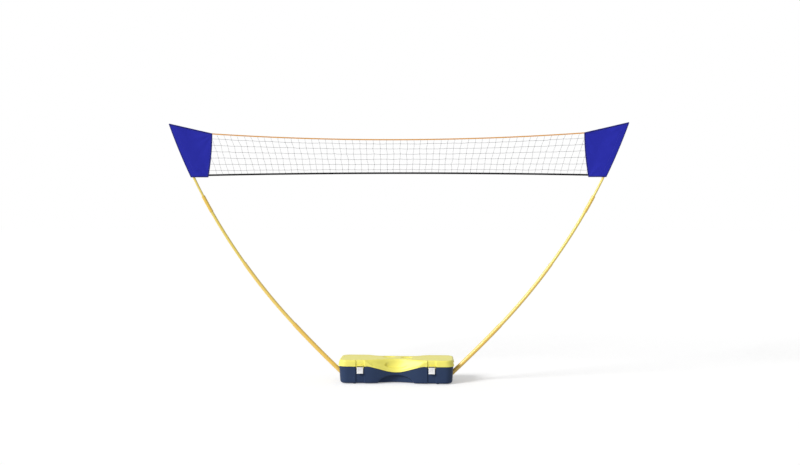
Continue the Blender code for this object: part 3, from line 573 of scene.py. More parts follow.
# %% The case's plan
CASE_LENGTH = 0.735
CASE_DEPTH = 0.255
CORNER_RADIUS = 0.055
CORNER_STEPS = 14
END_STEPS = 6
LATCH_X = 0.2295
CHANNEL_WIDTH = 0.0544
CHANNEL_CORNER = 0.0029
MIDDLE_REACH = 0.078  # the grip and the bottom of the wave need closer stations
STATION_SPACINGS = (0.007, 0.0009, 0.008, 0.0009, 0.003, 0.0022)  # from a corner to the middle


def spread(start, end, spacing):
    """Evenly spaced values from start up to but not including end."""
    steps = max(1, round(abs(end - start) / spacing))
    return [start + (end - start) * i / steps for i in range(steps)]


def plan_stations():
    """(x, y) points, one turn from the right end."""
    half_x, half_y, radius = CASE_LENGTH / 2, CASE_DEPTH / 2, CORNER_RADIUS
    quarter = [(half_x, y) for y in spread(0.0, half_y - radius, (half_y - radius) / END_STEPS)]
    for i in range(CORNER_STEPS):
        angle = math.pi / 2 * i / CORNER_STEPS
        x = half_x - radius + radius * math.cos(angle)
        y = half_y - radius + radius * math.sin(angle)
        quarter.append((x, y))
    outer, inner = LATCH_X + CHANNEL_WIDTH / 2, LATCH_X - CHANNEL_WIDTH / 2
    corner = CHANNEL_CORNER * 1.2
    channel = [outer + corner, outer - corner, inner + corner, inner - corner]
    places = [half_x - radius, *channel, MIDDLE_REACH, 0.0]
    for start, end, spacing in zip(places, places[1:], STATION_SPACINGS):
        quarter += [(x, half_y) for x in spread(start, end, spacing)]
    back_left = [(-x, y) for x, y in reversed(quarter[1:])]
    front_left = [(-x, -y) for x, y in quarter]
    front_right = [(x, -y) for x, y in reversed(quarter[1:])]
    return quarter + [(0.0, half_y)] + back_left + front_left + [(0.0, -half_y)] + front_right


STATIONS = plan_stations()
print("stations:", len(STATIONS))

# %% [markdown]
# A wall of the case is the same at every station but for what is pushed in there: the waist on both long
# sides, and in front the two channels that the latches lie in. So one function places any station at any
# height, and is told how far to move it in and how much more to push. The seam is a wave in front, because
# the lid's scoop reaches down there.

# %% A place on the case's wall
SEAM_HEIGHT = 0.115
WAVE_DROP = 0.040
WAVE_HALF_LENGTH = 0.193
WAIST_DEPTH = 0.036
WAIST_HALF_LENGTH = 0.175
CHANNEL_DEPTH = 0.0065
MERGE_DISTANCE = 0.00005


def seam_height(x, y):
    """The seam dips in a wave at the front and runs level elsewhere."""
    return SEAM_HEIGHT - (WAVE_DROP * bell(x / WAVE_HALF_LENGTH) if y < 0 else 0.0)


def on_long_side(x, y):
    return abs(y) > CASE_DEPTH / 2 - CORNER_RADIUS and abs(x) <= CASE_LENGTH / 2 - CORNER_RADIUS


def skin(x, y, z, amount, push=0.0):
    """A station moved in square to the plan, then pushed in by the waist, the channels and any recess."""
    half_x, half_y, radius = CASE_LENGTH / 2, CASE_DEPTH / 2, CORNER_RADIUS
    if abs(x) > half_x - radius and abs(y) > half_y - radius:
        centre_x, centre_y = math.copysign(half_x - radius, x), math.copysign(half_y - radius, y)
        share = 1 - amount / radius
        return Vector((centre_x + (x - centre_x) * share, centre_y + (y - centre_y) * share, z))
    if not on_long_side(x, y):
        return Vector((x - math.copysign(amount, x), y, z))
    push += amount + WAIST_DEPTH * bell(x / WAIST_HALF_LENGTH)
    if y < 0:
        inside = CHANNEL_WIDTH / 2 - abs(abs(x) - LATCH_X)
        push += CHANNEL_DEPTH * ease((inside + CHANNEL_CORNER) / (2 * CHANNEL_CORNER))
    return Vector((x, y - math.copysign(push, y), z))


def close_shell(name, rows):
    """A closed skin through rings that start and end on the case's long middle line."""
    bm = bmesh.new()
    bridge(bm, rows)
    bmesh.ops.remove_doubles(bm, verts=bm.verts, dist=MERGE_DISTANCE)
    bmesh.ops.dissolve_degenerate(bm, edges=bm.edges, dist=MERGE_DISTANCE)
    return mesh_of(bm, name)


print("seam from", round(seam_height(0.0, -1.0), 3), "to", seam_height(CASE_LENGTH / 2, -1.0), "m")

# %% [markdown]
# ## The lid
# The lid is yellow. A broad scoop sweeps down across its front from one latch to the other, and its
# lower edge is crisp: an S that ends in a narrow lip along the seam. Cutting it with a boolean leaves edges
# that shade badly, so it is a depth added to the wall instead, with one ring of the mesh laid exactly along
# the S. The ends lean out a little to a rim that stands proud of the base.

# %% The scoop and its lip
CASE_HEIGHT = 0.154
TOP_ROUNDING = 0.011
WALL_TOP = CASE_HEIGHT - TOP_ROUNDING
LIP_HEIGHT = 0.006
LIP_FADE = 0.02
LIP_FLARE = 0.0042
END_FLARE = 0.0055
END_LEAN = 0.001
SCOOP_DEPTH = 0.028
SCOOP_HALF_LENGTH = 0.2023
SCOOP_ROUNDNESS = 1.2
SCOOP_RISE = 0.031
SCOOP_RISE_LENGTH = 0.055
SCOOP_BELOW_ROUNDING = 0.003
BACK_SCOOP_DEPTH = 0.042
BACK_SCOOP_RISE_LENGTH = 0.085
OUTER_RING_HEIGHT = SEAM_HEIGHT + 0.013  # where the ring of the S runs beyond the scoop
OUTER_RING_START = 0.195
OUTER_RING_EASE = 0.025


def scoop_edge(x, y):
    """The height of the crisp S; beyond the scoop it is only where a ring of the mesh runs."""
    rise = min(max((abs(x) - SCOOP_HALF_LENGTH) / SCOOP_RISE_LENGTH + 1, 0.0), 1.0)
    edge = min(seam_height(x, y) + LIP_HEIGHT + SCOOP_RISE * rise, WALL_TOP - SCOOP_BELOW_ROUNDING)
    back_down = ease((abs(x) - OUTER_RING_START) / OUTER_RING_EASE)
    return edge + (OUTER_RING_HEIGHT - edge) * back_down


def scoop_depth(x, y):
    """How far the scoop reaches in at the top edge, beyond the waist; at the back it is wide and shallow."""
    if y < 0:
        return SCOOP_DEPTH * (1 - (x / SCOOP_HALF_LENGTH) ** 2) ** SCOOP_ROUNDNESS
    whole = BACK_SCOOP_DEPTH * ease((SCOOP_HALF_LENGTH - abs(x)) / BACK_SCOOP_RISE_LENGTH)
    return max(whole - WAIST_DEPTH * bell(x / WAIST_HALF_LENGTH), 0.0)


def end_share(x, y):
    """1 on the two short sides of the case, falling to 0 round the corners."""
    if on_long_side(x, y):
        return 0.0
    return ease((abs(x) - CASE_LENGTH / 2 + CORNER_RADIUS) / CORNER_RADIUS)


def lip_share(x, y):
    """1 along the lip between the two latches."""
    return ease((SCOOP_HALF_LENGTH - abs(x)) / LIP_FADE) if y < 0 and on_long_side(x, y) else 0.0


def flare(x, y, z):
    """The ends lean out to a rim that stands proud of the base, and so does the lip at the front."""
    over_seam = max(z - seam_height(x, y), 0.0)
    height = min(over_seam / (WALL_TOP - seam_height(x, y)), 1.0)
    ends = END_FLARE * (1 - height) - END_LEAN * height
    lip = LIP_FLARE * max(1 - over_seam / LIP_HEIGHT, 0.0)
    return ends * end_share(x, y) + lip * lip_share(x, y)


print("scoop:", 2 * SCOOP_HALF_LENGTH, "m long,", SCOOP_DEPTH, "m deep")

# %% [markdown]
# In the scoop is an oval grip for the fingers, with a steep lower edge, and over each latch runs a narrow
# groove. Behind the lip the wall steps in. All three are depths again, and the wall adds them up.

# %% The grip, the step and the grooves
TINY = 1e-6
GRIP_HEIGHT = 0.121
GRIP_HALF_LENGTH = 0.075
GRIP_REACH_DOWN = 0.026
GRIP_REACH_UP = 0.024
GRIP_DEPTH = 0.021
GRIP_WALL = 0.007
GRIP_CURVE = 1.5
SCOOP_STEP = 0.005
SCOOP_STEP_HEIGHT = 0.004
SCOOP_STEP_END = 0.030
LATCH_GROOVE_HEIGHT = 0.0078
LATCH_GROOVE_HALF = 0.0026
LATCH_GROOVE_DEPTH = 0.003


def oval_reach(across, up, half_across, half_up):
    """How far inside an oval's edge a place is, about, and 0 outside."""
    reach = math.hypot(across / half_across, up / half_up)
    if reach >= 1:
        return 0.0
    slope = math.hypot(across / half_across**2, up / half_up**2) / max(reach, TINY)
    return (1 - reach) / max(slope, TINY)


def oval_depth(across, up, half_across, half_up, wall):
    """1 inside an oval and 0 outside, with an even slope of the given width just inside its edge."""
    return ease(oval_reach(across, up, half_across, half_up) / wall)


def grip_depth(x, z):
    """The grip leans in from its top to a steep lower edge and runs out to the right."""
    up = (z - GRIP_HEIGHT) / (GRIP_REACH_DOWN if z < GRIP_HEIGHT else GRIP_REACH_UP)
    along = x / GRIP_HALF_LENGTH
    if math.hypot(along, up) >= 1:
        return 0.0
    half = math.sqrt(1 - along**2)
    drop = (half - up) / (2 * half)
    inside = oval_reach(x, z - GRIP_HEIGHT, GRIP_HALF_LENGTH, GRIP_REACH_DOWN)
    run_out = 1 - ((1 + along) / 2) ** GRIP_CURVE
    return GRIP_DEPTH * drop**GRIP_CURVE * ease(inside / GRIP_WALL) * run_out


def latch_groove(x, y, z):
    """A narrow groove over each latch's ledge."""
    if y > 0 or abs(abs(x) - LATCH_X) > CHANNEL_WIDTH / 2 - CHANNEL_CORNER:
        return 0.0
    return LATCH_GROOVE_DEPTH * bell((z - SEAM_HEIGHT - LATCH_GROOVE_HEIGHT) / LATCH_GROOVE_HALF)


def lid_recess(x, y, z):
    """How far the scoop, the step behind its lip and the grip push the lid's wall in."""
    if not on_long_side(x, y):
        return 0.0
    if abs(x) >= SCOOP_HALF_LENGTH:
        return latch_groove(x, y, z)
    edge = scoop_edge(x, y)
    share = min(max((z - edge) / (CASE_HEIGHT - edge), 0.0), 1.0)
    push = scoop_depth(x, y) * (0.5 * share * (2 - share) + 0.5 * ease(share))
    if y < 0:
        step = SCOOP_STEP * ease((z - edge) / SCOOP_STEP_HEIGHT)
        push += step * ease((SCOOP_HALF_LENGTH - abs(x)) / SCOOP_STEP_END) + grip_depth(x, z)
    return push


print("wall pushed in at the grip:", round(lid_recess(-0.02, -1.0, 0.110) * 1000, 1), "mm")

# %% [markdown]
# The shell itself is rings: from the rim up the wall, over a rounded edge, and in over the top to the long
# middle line, once for the outside and once for the inside. The top has two shallow dishes, and its rings
# lie closest together where those are.

# %% The lid's shell
CASE_WALL = 0.003
GAP = 0.0003
RIM_DROP = 0.002
RIM_INSET = 0.0005
RIM_EDGE = 0.0003
LID_LIP_STEPS = 5
LID_WALL_STEPS = 30
LID_STEP_CROWDING = 1.5
LID_TOP_SHARES = [0.04, 0.1, 0.17, 0.24, 0.31, 0.38, 0.45, 0.5, 0.55]
LID_TOP_SHARES += [0.58 + 0.03 * i for i in range(15)]
ROUNDING_STEPS = 5
MIDDLE_LINE_INSET = CORNER_RADIUS * 1.6
SHELL_CREASE = 40
DISHES = [
    {"x": -0.052, "y": 0.031, "half_length": 0.044, "half_width": 0.031},
    {"x": 0.064, "y": 0.003, "half_length": 0.042, "half_width": 0.032},
]
DISH_DEPTH = 0.021
DISH_WALL = 0.022


def rim_height(x, y):
    """The rim's outer edge hangs a little over the base, but not at the hinges."""
    return seam_height(x, y) + GAP / 2 - RIM_DROP * max(end_share(x, y), 1.0 if y < 0 else 0.0)


def lid_wall_ring(z_at, inset):
    row = []
    for x, y in STATIONS:
        z = z_at(x, y)
        row.append(skin(x, y, z, inset - flare(x, y, z), lid_recess(x, y, z)))
    return row


def dish_depth(x, y):
    depth = 0.0
    for dish in DISHES:
        shape = (dish["half_length"], dish["half_width"])
        depth += DISH_DEPTH * oval_depth(x - dish["x"], y - dish["y"], *shape, DISH_WALL)
    return depth


def cap_rows(edge, height, shares, depth_at):
    """Rings that close a level end onto the case's long middle line."""
    reach = CASE_LENGTH / 2 - MIDDLE_LINE_INSET
    rows = []
    for share in shares:
        row = []
        for point in edge:
            middle_x = min(max(point.x, -reach), reach)
            x, y = point.x + (middle_x - point.x) * share, point.y * (1 - share)
            row.append(Vector((x, y, height - depth_at(x, y))))
        rows.append(row)
    return rows


def lid_rows(wall):
    """From the rim up to the middle of the top; wall is 0 outside and the thickness inside."""
    rows = []
    if not wall:
        rows.append(lid_wall_ring(rim_height, RIM_INSET))
    low_z = seam_height if wall else rim_height
    start = RIM_EDGE + (GAP if wall else 0.0)
    for step in range(LID_LIP_STEPS):
        share = step / LID_LIP_STEPS
        rows.append(
            lid_wall_ring(lambda x, y: between(low_z(x, y) + start, scoop_edge(x, y), share), wall)
        )
    for step in range(LID_WALL_STEPS + 1):
        share = (step / LID_WALL_STEPS) ** LID_STEP_CROWDING
        rows.append(lid_wall_ring(lambda x, y: between(scoop_edge(x, y), WALL_TOP, share), wall))
    radius = TOP_ROUNDING - wall
    for step in range(1, ROUNDING_STEPS + 1):
        angle = math.pi / 2 * step / ROUNDING_STEPS
        inset, z = TOP_ROUNDING - radius * math.cos(angle), WALL_TOP + radius * math.sin(angle)
        row = []
        for x, y in STATIONS:
            row.append(skin(x, y, z, inset + END_LEAN * end_share(x, y), lid_recess(x, y, CASE_HEIGHT)))
        rows.append(row)
    return rows + cap_rows(rows[-1], CASE_HEIGHT - wall, LID_TOP_SHARES + [1.0], dish_depth)


lid_mesh = close_shell("lid_shell", lid_rows(CASE_WALL)[::-1] + lid_rows(0.0))
add_piece("lid_shell", lid_mesh, YELLOW_PLASTIC, "lid", ["case_lid"], SHELL_CREASE)
print("lid faces:", len(lid_mesh.polygons))

# %% [markdown]
# ## The base
# The base is dark blue and a little narrower at the bottom, as a moulded tub must be to leave its mould. Just
# under the lid a shallow groove runs round it and makes the dark line between the two. At the front an
# arch is pressed in. The poles' sockets need round holes in the ends, and a boolean is right for those.

# %% The base
FOOT_HEIGHT = 0.004
BASE_DRAFT = 0.007
BOTTOM_ROUNDING = 0.014
RIM_GROOVE_HEIGHT = 0.0040
RIM_GROOVE_DEPTH = 0.0028
RIM_GROOVE_SLOPE = 0.0005
BASE_WALL_STEPS = 26
ARCH = {"half_length": 0.118, "height": 0.057, "depth": 0.023, "wall": 0.007, "foot": 0.018, "forward": 0.4}
BASE_FLOOR_SHARES = [0.12, 0.3, 0.5, 0.7, 0.85, 1.0]


def arch_recess(x, z):
    """The arch has a steep edge that keeps it in the shade, and its foot comes forward again."""
    depth = ARCH["depth"] * oval_depth(x, z, ARCH["half_length"], ARCH["height"], ARCH["wall"])
    return depth * (1 - ARCH["forward"] * ease((ARCH["foot"] - z) / ARCH["foot"]))


def base_row(drop_at, inset):
    """A ring at a drop below the seam; the wall's draft is added to the inset."""
    row = []
    for x, y in STATIONS:
        high = seam_height(x, y)
        z = high - drop_at(high)
        draft = BASE_DRAFT * (high - z) / (high - FOOT_HEIGHT)
        row.append(skin(x, y, z, inset + draft, arch_recess(x, z)))
    return row


def base_rows(wall):
    """From the rim down to the middle of the floor; wall is 0 outside and the thickness inside."""
    rows = [base_row(lambda high: GAP / 2, wall + RIM_GROOVE_DEPTH)]
    rows.append(base_row(lambda high: RIM_GROOVE_HEIGHT, wall + RIM_GROOVE_DEPTH))
    start = RIM_GROOVE_HEIGHT + RIM_GROOVE_SLOPE
    wall_foot = FOOT_HEIGHT + BOTTOM_ROUNDING
    for step in range(BASE_WALL_STEPS + 1):
        share = step / BASE_WALL_STEPS
        rows.append(base_row(lambda high: start + (high - wall_foot - start) * share, wall))
    radius = BOTTOM_ROUNDING - wall
    for step in range(1, ROUNDING_STEPS + 1):
        angle = math.pi / 2 * step / ROUNDING_STEPS
        z = wall_foot - radius * math.sin(angle)
        inset = BASE_DRAFT + BOTTOM_ROUNDING - radius * math.cos(angle)
        rows.append([skin(x, y, z, inset, arch_recess(x, z)) for x, y in STATIONS])
    return rows + cap_rows(rows[-1], FOOT_HEIGHT + wall, BASE_FLOOR_SHARES, lambda x, y: 0.0)


base_mesh = close_shell("base_shell", base_rows(CASE_WALL)[::-1] + base_rows(0.0))
base = add_piece("base_shell", base_mesh, NAVY_PLASTIC, "case", ["case_base"], SHELL_CREASE)
print("base faces:", len(base_mesh.polygons))

# %% [markdown]
# ## Where the poles run
# Each pole leaves the end of the case at a slant and bows inwards, more tightly from tube to tube, because a
# thinner tube gives way more where the net pulls. So its centre line is a chain of circle arcs, one for each
# tube, and a place on it is named by its distance from the case.

# %% Where the poles run
POLE_MOUTH_HEIGHT = 0.065
POLE_ANGLE = math.radians(43.3)
TUBE_NAMES = ("lower", "middle", "upper", "tip")
TUBE_LENGTHS = (0.430, 0.515, 0.515, 0.490)
TUBE_BOWS = (7.30, 3.87, 3.83, 3.64)
TUBE_RADII = (0.014, 0.012, 0.010, 0.008)
TUBE_WALL = 0.0017
TUBE_OVERLAP = 0.060
POLE_LENGTH = sum(TUBE_LENGTHS)
POLE_SEAT_DEPTH = 0.0641
SOCKET_RADIUS = 0.0166
SOCKET_SIDES = 40


def pole_point(distance):
    """(place, direction) on the right pole's centre line; negative distances are in the socket."""
    x, z, angle = CASE_LENGTH / 2, POLE_MOUTH_HEIGHT, POLE_ANGLE
    if distance <= 0:
        along = Vector((math.cos(angle), 0, math.sin(angle)))
        return Vector((x, 0, z)) + along * distance, along
    left = distance
    for index, (length, bow) in enumerate(zip(TUBE_LENGTHS, TUBE_BOWS)):
        step = left if index == len(TUBE_LENGTHS) - 1 else min(left, length)
        turned = angle + step / bow
        x += bow * (math.sin(turned) - math.sin(angle))
        z += bow * (math.cos(angle) - math.cos(turned))
        angle = turned
        left -= step
        if left <= 0:
            break
    return Vector((x, 0, z)), Vector((math.cos(angle), 0, math.sin(angle)))


def outward_of(along):
    """Square to the pole, in its plane and away from the net."""
    return Vector((along.z, 0, -along.x))


mouth, mouth_direction = pole_point(0.0)
for side_name, side in SIDES:
    flip = Vector((side, 1, 1))
    inside = (mouth - mouth_direction * POLE_SEAT_DEPTH / 2) * flip
    outside = (mouth + mouth_direction * 4 * SOCKET_RADIUS) * flip
    cut(base, [rod("socket_hole", SOCKET_RADIUS, inside, outside, SOCKET_SIDES)], SHELL_CREASE)
print("pole length:", POLE_LENGTH, "tip at", [round(value, 3) for value in pole_point(POLE_LENGTH)[0]])

# %% [markdown]
# ## The poles
# A tube here is a surface of circles set square to the centre line: up the outside, over a small chamfer at
# the rim, and down the inside to close it. A curve with a bevel would do it in one line, but gives no wall
# and no rim, and the steps from tube to tube are just what shows. The collar is one more such tube.

# %% The poles
TUBE_SIDES = 32
RING_SPACING = 0.022
RIM_CHAMFER = 0.0005
COLLAR_LENGTH = 0.118
COLLAR_RADIUS = 0.0118
COLLAR_WALL = 0.0015
BUTTON_RADIUS = 0.0025
BUTTON_BELOW_RIM = 0.010
BUTTON_HOLE_LENGTH = 0.02


def tube(bm, start, end, radius, wall):
    """A closed tube wall along the right pole."""
    count = max(2, math.ceil((end - start) / RING_SPACING))
    along = [start + (end - start) * i / count for i in range(1, count)]
    outer = [(start, radius - RIM_CHAMFER), (start + RIM_CHAMFER, radius)] + [(d, radius) for d in along]
    outer += [(end - RIM_CHAMFER, radius), (end, radius - RIM_CHAMFER)]
    bore = radius - wall
    inner = [(end, bore)] + [(d, bore) for d in reversed(along)] + [(start, bore)]
    rows = []
    for distance, ring_radius in outer + inner:
        place, direction = pole_point(distance)
        across = outward_of(direction)
        rows.append([place + across * u + Vector((0, 1, 0)) * v for u, v in circle(ring_radius, TUBE_SIDES)])
    bridge(bm, rows, closed=True)


def tube_start(index):
    """Where a tube's lower end lies, in the socket or inside the tube below it."""
    return -POLE_SEAT_DEPTH if index == 0 else sum(TUBE_LENGTHS[:index]) - TUBE_OVERLAP


def tube_end(index):
    return sum(TUBE_LENGTHS[: index + 1])


button_place, button_along = pole_point(tube_end(1) - BUTTON_BELOW_RIM)
button_axis = -outward_of(button_along)
for side_name, side in SIDES:
    flip = Vector((side, 1, 1))
    body = f"pole_{side_name}"
    for index, name in enumerate(TUBE_NAMES):
        bm = bmesh.new()
        tube(bm, tube_start(index), tube_end(index), TUBE_RADII[index], TUBE_WALL)
        node = f"pole_{name}_{side_name}"
        mesh = mesh_of(bm, node, side)
        piece = add_piece(f"tube_{name}_{side_name}", mesh, LACQUERS[name], body, [node])
        if name in ("middle", "upper"):
            hole_end = (button_place + button_axis * BUTTON_HOLE_LENGTH) * flip
            cut(piece, [rod("button_hole", BUTTON_RADIUS + GAP, button_place * flip, hole_end)])
    bm = bmesh.new()
    rim = tube_end(2)
    tube(bm, rim - COLLAR_LENGTH, rim, COLLAR_RADIUS, COLLAR_WALL)
    node = f"pole_collar_{side_name}"
    mesh = mesh_of(bm, node, side)
    add_piece(f"collar_{side_name}", mesh, LACQUERS["collar"], body, [node])
print("tubes end at", [round(tube_end(index), 3) for index in range(len(TUBE_NAMES))])

# %% [markdown]
# ## The lock buttons
# A spring button pops out of the middle tube and keeps it from sliding. It is a short pin with a domed head
# on a strip of spring steel inside the tube. The pin is turned from a profile, so that its dome is round,
# and the strip is a thin box with softened edges.

# %% The lock buttons
BUTTON_TOP = 0.0145
LEAF_TOP = 0.0073
LEAF_SIZE = (0.026, 0.006, 0.0008)
LEAF_ROUNDING = 0.0002
BUTTON_CREASE = 40
TURNED_SIDES = 24
DOME = [(0.0, 0.0), (0.0010, 0.0001), (0.0018, 0.0005), (0.0023, 0.0011), (0.0025, 0.0018)]


def turned(bm, profile, place, axis):
    """A solid turned from (radius, height) points, top to bottom, both ends on the axis."""
    turn = axis.to_track_quat("Z", "X").to_matrix().to_4x4()
    rings = []
    for radius, height in profile:
        rings.append([(u, v, height) for u, v in circle(max(radius, TINY), TURNED_SIDES)])
    verts = [vert for row in bridge(bm, rings) for vert in row]
    bmesh.ops.transform(bm, matrix=Matrix.Translation(place) @ turn, verts=verts)
    bmesh.ops.remove_doubles(bm, verts=verts, dist=0.00001)


for side_name, side in SIDES:
    bm = bmesh.new()
    length, width, thickness = LEAF_SIZE
    profile = [(radius, BUTTON_TOP - drop) for radius, drop in DOME]
    profile += [(BUTTON_RADIUS, LEAF_TOP - thickness / 2), (0.0, LEAF_TOP - thickness / 2)]
    turned(bm, profile, button_place, button_axis)
    low, high = (-length / 2, -width / 2, LEAF_TOP - thickness), (length / 2, width / 2, LEAF_TOP)
    verts = block(bm, low, high)
    edges = list({edge for vert in verts for edge in vert.link_edges})
    leaf = bmesh.ops.bevel(bm, geom=edges, offset=LEAF_ROUNDING, segments=1, affect="EDGES")
    shaped = list({vert for face in leaf["faces"] for vert in face.verts})
    turn = button_axis.to_track_quat("Z", "X").to_matrix().to_4x4()
    bmesh.ops.transform(bm, matrix=Matrix.Translation(button_place) @ turn, verts=shaped)
    node = f"pole_button_{side_name}"
    mesh = mesh_of(bm, node, side)
    add_piece(f"lock_button_{side_name}", mesh, STEEL, f"button_{side_name}", [node], BUTTON_CREASE)
print("buttons at", [round(value, 3) for value in button_place])

# %% [markdown]
# ## The sleeves
# A sleeve is one piece of blue cloth, folded round the pole and sewn to itself: a narrow channel holds the
# pole, and the rest is a flat double panel that the net pulls tight. Cloth simulation makes soft slack folds,
# but this cloth is stretched hard between the pole and the net. So the fold is built as a fine grid over
# the sleeve's outline, swollen where the pole runs, with shallow tension folds that fan out of its corners.

# %% The sleeve's outline
SLEEVE_OUTER_LENGTH = 0.345
SLEEVE_EDGE_OFFSET = 0.015
SLEEVE_TIP_LENGTH = 0.030
SLEEVE_TOP_LENGTH = 0.292
SLEEVE_TOP_SLOPE = math.radians(12.9)
SLEEVE_HEM_LENGTH = 0.113
SLEEVE_INNER_BULGE = 0.006


def outer_edge(share):
    """The right sleeve's long outer edge, from the hem at 0 to the tip at 1."""
    run = share * (SLEEVE_OUTER_LENGTH + SLEEVE_TIP_LENGTH)
    distance = POLE_LENGTH - SLEEVE_OUTER_LENGTH + run
    place, along = pole_point(min(distance, POLE_LENGTH))
    return place + outward_of(along) * SLEEVE_EDGE_OFFSET + along * max(distance - POLE_LENGTH, 0.0)


TIP = outer_edge(1.0)
OUTER_BOTTOM = outer_edge(0.0)
INNER_BOTTOM = OUTER_BOTTOM - Vector((SLEEVE_HEM_LENGTH, 0, 0))
INNER_TOP = TIP - SLEEVE_TOP_LENGTH * Vector((math.cos(SLEEVE_TOP_SLOPE), 0, math.sin(SLEEVE_TOP_SLOPE)))


def inner_edge(share):
    """The edge that the net is sewn to, from its bottom corner at 0 to its top corner at 1."""
    place = INNER_BOTTOM.lerp(INNER_TOP, share)
    place.x -= SLEEVE_INNER_BULGE * 4 * share * (1 - share)
    return place


def top_edge(share):
    return INNER_TOP.lerp(TIP, share)


def bottom_edge(share):
    return INNER_BOTTOM.lerp(OUTER_BOTTOM, share)


# %% [markdown]
# The two layers lie on each other except where the pole swells them. The front is pulled smooth over the
# pole, so the whole panel leans forward there and only the back layer bulges. How far a place in the
# sleeve's plane lies from the pole is worked out from the arc that the tip tube follows.

# %% Layers and folds
LAYER_GAP = 0.0009  # from the middle of the panel to the middle of one layer
CLOTH_THICKNESS = 0.0008
CHANNEL_SWELL = 0.0093
CHANNEL_REACH = 0.0136
LEAN_START = 0.110
LEAN_LENGTH = 0.100
CHANNEL_SEAM = 0.0165
SEAM_PINCH = 0.0004
SEAM_PINCH_REACH = 0.004
SWELL_PAST_TIP = 0.018
SWELL_FADE = 0.013
FOLDS_FROM_POLE = 0.016
FOLD_FADE = 0.03
FOLD_RISE = 5
FOLD_FALLOFF = 1.5
EDGE_CHECKS = 12
FOLD_FANS = [
    {"corner": TIP, "count": 15, "depth": 0.0016, "reach": 0.26, "phase": 0.4},
    {"corner": INNER_TOP, "count": 11, "depth": 0.0018, "reach": 0.22, "phase": 1.9},
    {"corner": INNER_BOTTOM, "count": 9, "depth": 0.0014, "reach": 0.17, "phase": 3.1},
    {"corner": OUTER_BOTTOM, "count": 9, "depth": 0.0012, "reach": 0.16, "phase": 5.0},
]
tip_start, tip_direction = pole_point(sum(TUBE_LENGTHS[:3]))
TIP_BOW = TUBE_BOWS[3]
BOW_CENTRE = tip_start - outward_of(tip_direction) * TIP_BOW
TIP_START_ANGLE = math.atan2(tip_direction.z, tip_direction.x)


def from_pole(point):
    """How far outside the pole's centre line a place in the net's plane lies, and how far along the pole."""
    arm = point - BOW_CENTRE
    angle = math.atan2(arm.x, -arm.z)
    return arm.length - TIP_BOW, sum(TUBE_LENGTHS[:3]) + (angle - TIP_START_ANGLE) * TIP_BOW


def layer_gap(point, front):
    """How far the middle of a layer lies from the middle of the panel."""
    outside, distance = from_pole(point)
    gap = LAYER_GAP - SEAM_PINCH * bell((outside + CHANNEL_SEAM) / SEAM_PINCH_REACH)
    if front:
        return gap
    over_end = ease((POLE_LENGTH + SWELL_PAST_TIP - distance) / SWELL_FADE)
    return gap + 2 * (CHANNEL_SWELL - LAYER_GAP) * max(0.0, 1 - (outside / CHANNEL_REACH) ** 2) * over_end


def fold_height(point, side):
    """How far both layers lean out of the plane together."""
    outside, _ = from_pole(point)
    free = ease((-outside - FOLDS_FROM_POLE) / FOLD_FADE)
    height = 0.0
    for fan in FOLD_FANS:
        arm = point - fan["corner"]
        reach = arm.length / fan["reach"]
        if reach < 1:
            angle = math.atan2(arm.z, arm.x)
            window = ease(reach * FOLD_RISE) * (1 - reach) ** FOLD_FALLOFF
            height += fan["depth"] * window * math.sin(fan["count"] * angle + fan["phase"] + side)
    from_inner = min((point - inner_edge(i / EDGE_CHECKS)).length for i in range(EDGE_CHECKS + 1))
    forward = (CHANNEL_SWELL - LAYER_GAP) * ease((outside + LEAN_START) / LEAN_LENGTH)
    return height * free * ease(from_inner / FOLD_FADE) - forward


def on_sleeve(point, side, front, lift=0.0):
    """A place in the plane, raised onto the front or the back layer of the sleeve."""
    gap = layer_gap(point, front) + lift
    return Vector((point.x, fold_height(point, side) + (-gap if front else gap), point.z))


print("folds:", len(FOLD_FANS), "fans")

# %% [markdown]
# The cloth itself is a grid with a row for each step from the hem to the tip. A row runs over the front
# layer, round the fold at the outer edge and back over the other layer, with its points closest where the
# pole swells the cloth. Solidify then gives the sheet its thickness.

# %% The sleeves
SLEEVE_ROWS = 72
CHANNEL_COLUMNS = 18
PANEL_COLUMNS = 34
CHANNEL_BAND = 0.036
CLOTH_CREASE = 60

for side_name, side in SIDES:
    bm = bmesh.new()
    rows = []
    for row in range(SLEEVE_ROWS + 1):
        share = row / SLEEVE_ROWS
        outer, inner = outer_edge(share), inner_edge(share)
        width = (outer - inner).length
        band = CHANNEL_BAND / width
        across = [band * i / CHANNEL_COLUMNS for i in range(CHANNEL_COLUMNS)]
        across += [band + (1 - band) * i / PANEL_COLUMNS for i in range(PANEL_COLUMNS + 1)]
        flat = [outer.lerp(inner, a) for a in across]
        front = [on_sleeve(point, side, True) for point in flat]
        back = [on_sleeve(point, side, False) for point in flat]
        fold = outer + (outer - inner).normalized() * LAYER_GAP + Vector((0, fold_height(outer, side), 0))
        rows.append(front[::-1] + [fold] + back)
    bridge(bm, rows, around=False)
    node = f"sleeve_{side_name}"
    mesh = mesh_of(bm, node, side)
    name = f"sleeve_cloth_{side_name}"
    cloth = add_piece(name, mesh, BLUE_CLOTH, f"pole_{side_name}", [node], CLOTH_CREASE)
    wall = cloth.modifiers.new("cloth", "SOLIDIFY")
    wall.thickness = CLOTH_THICKNESS
    wall.offset = 0.0
    settle(cloth, CLOTH_CREASE)
    print(cloth.name, "faces:", len(cloth.data.polygons))

# %% [markdown]
# All four edges of a sleeve are bound with a narrow navy tape. Along the top, the outer and the inner edge
# it is folded over both layers, so it is one rounded strip. At the hem the pole comes out between the
# layers, so there each layer has a strip of its own.

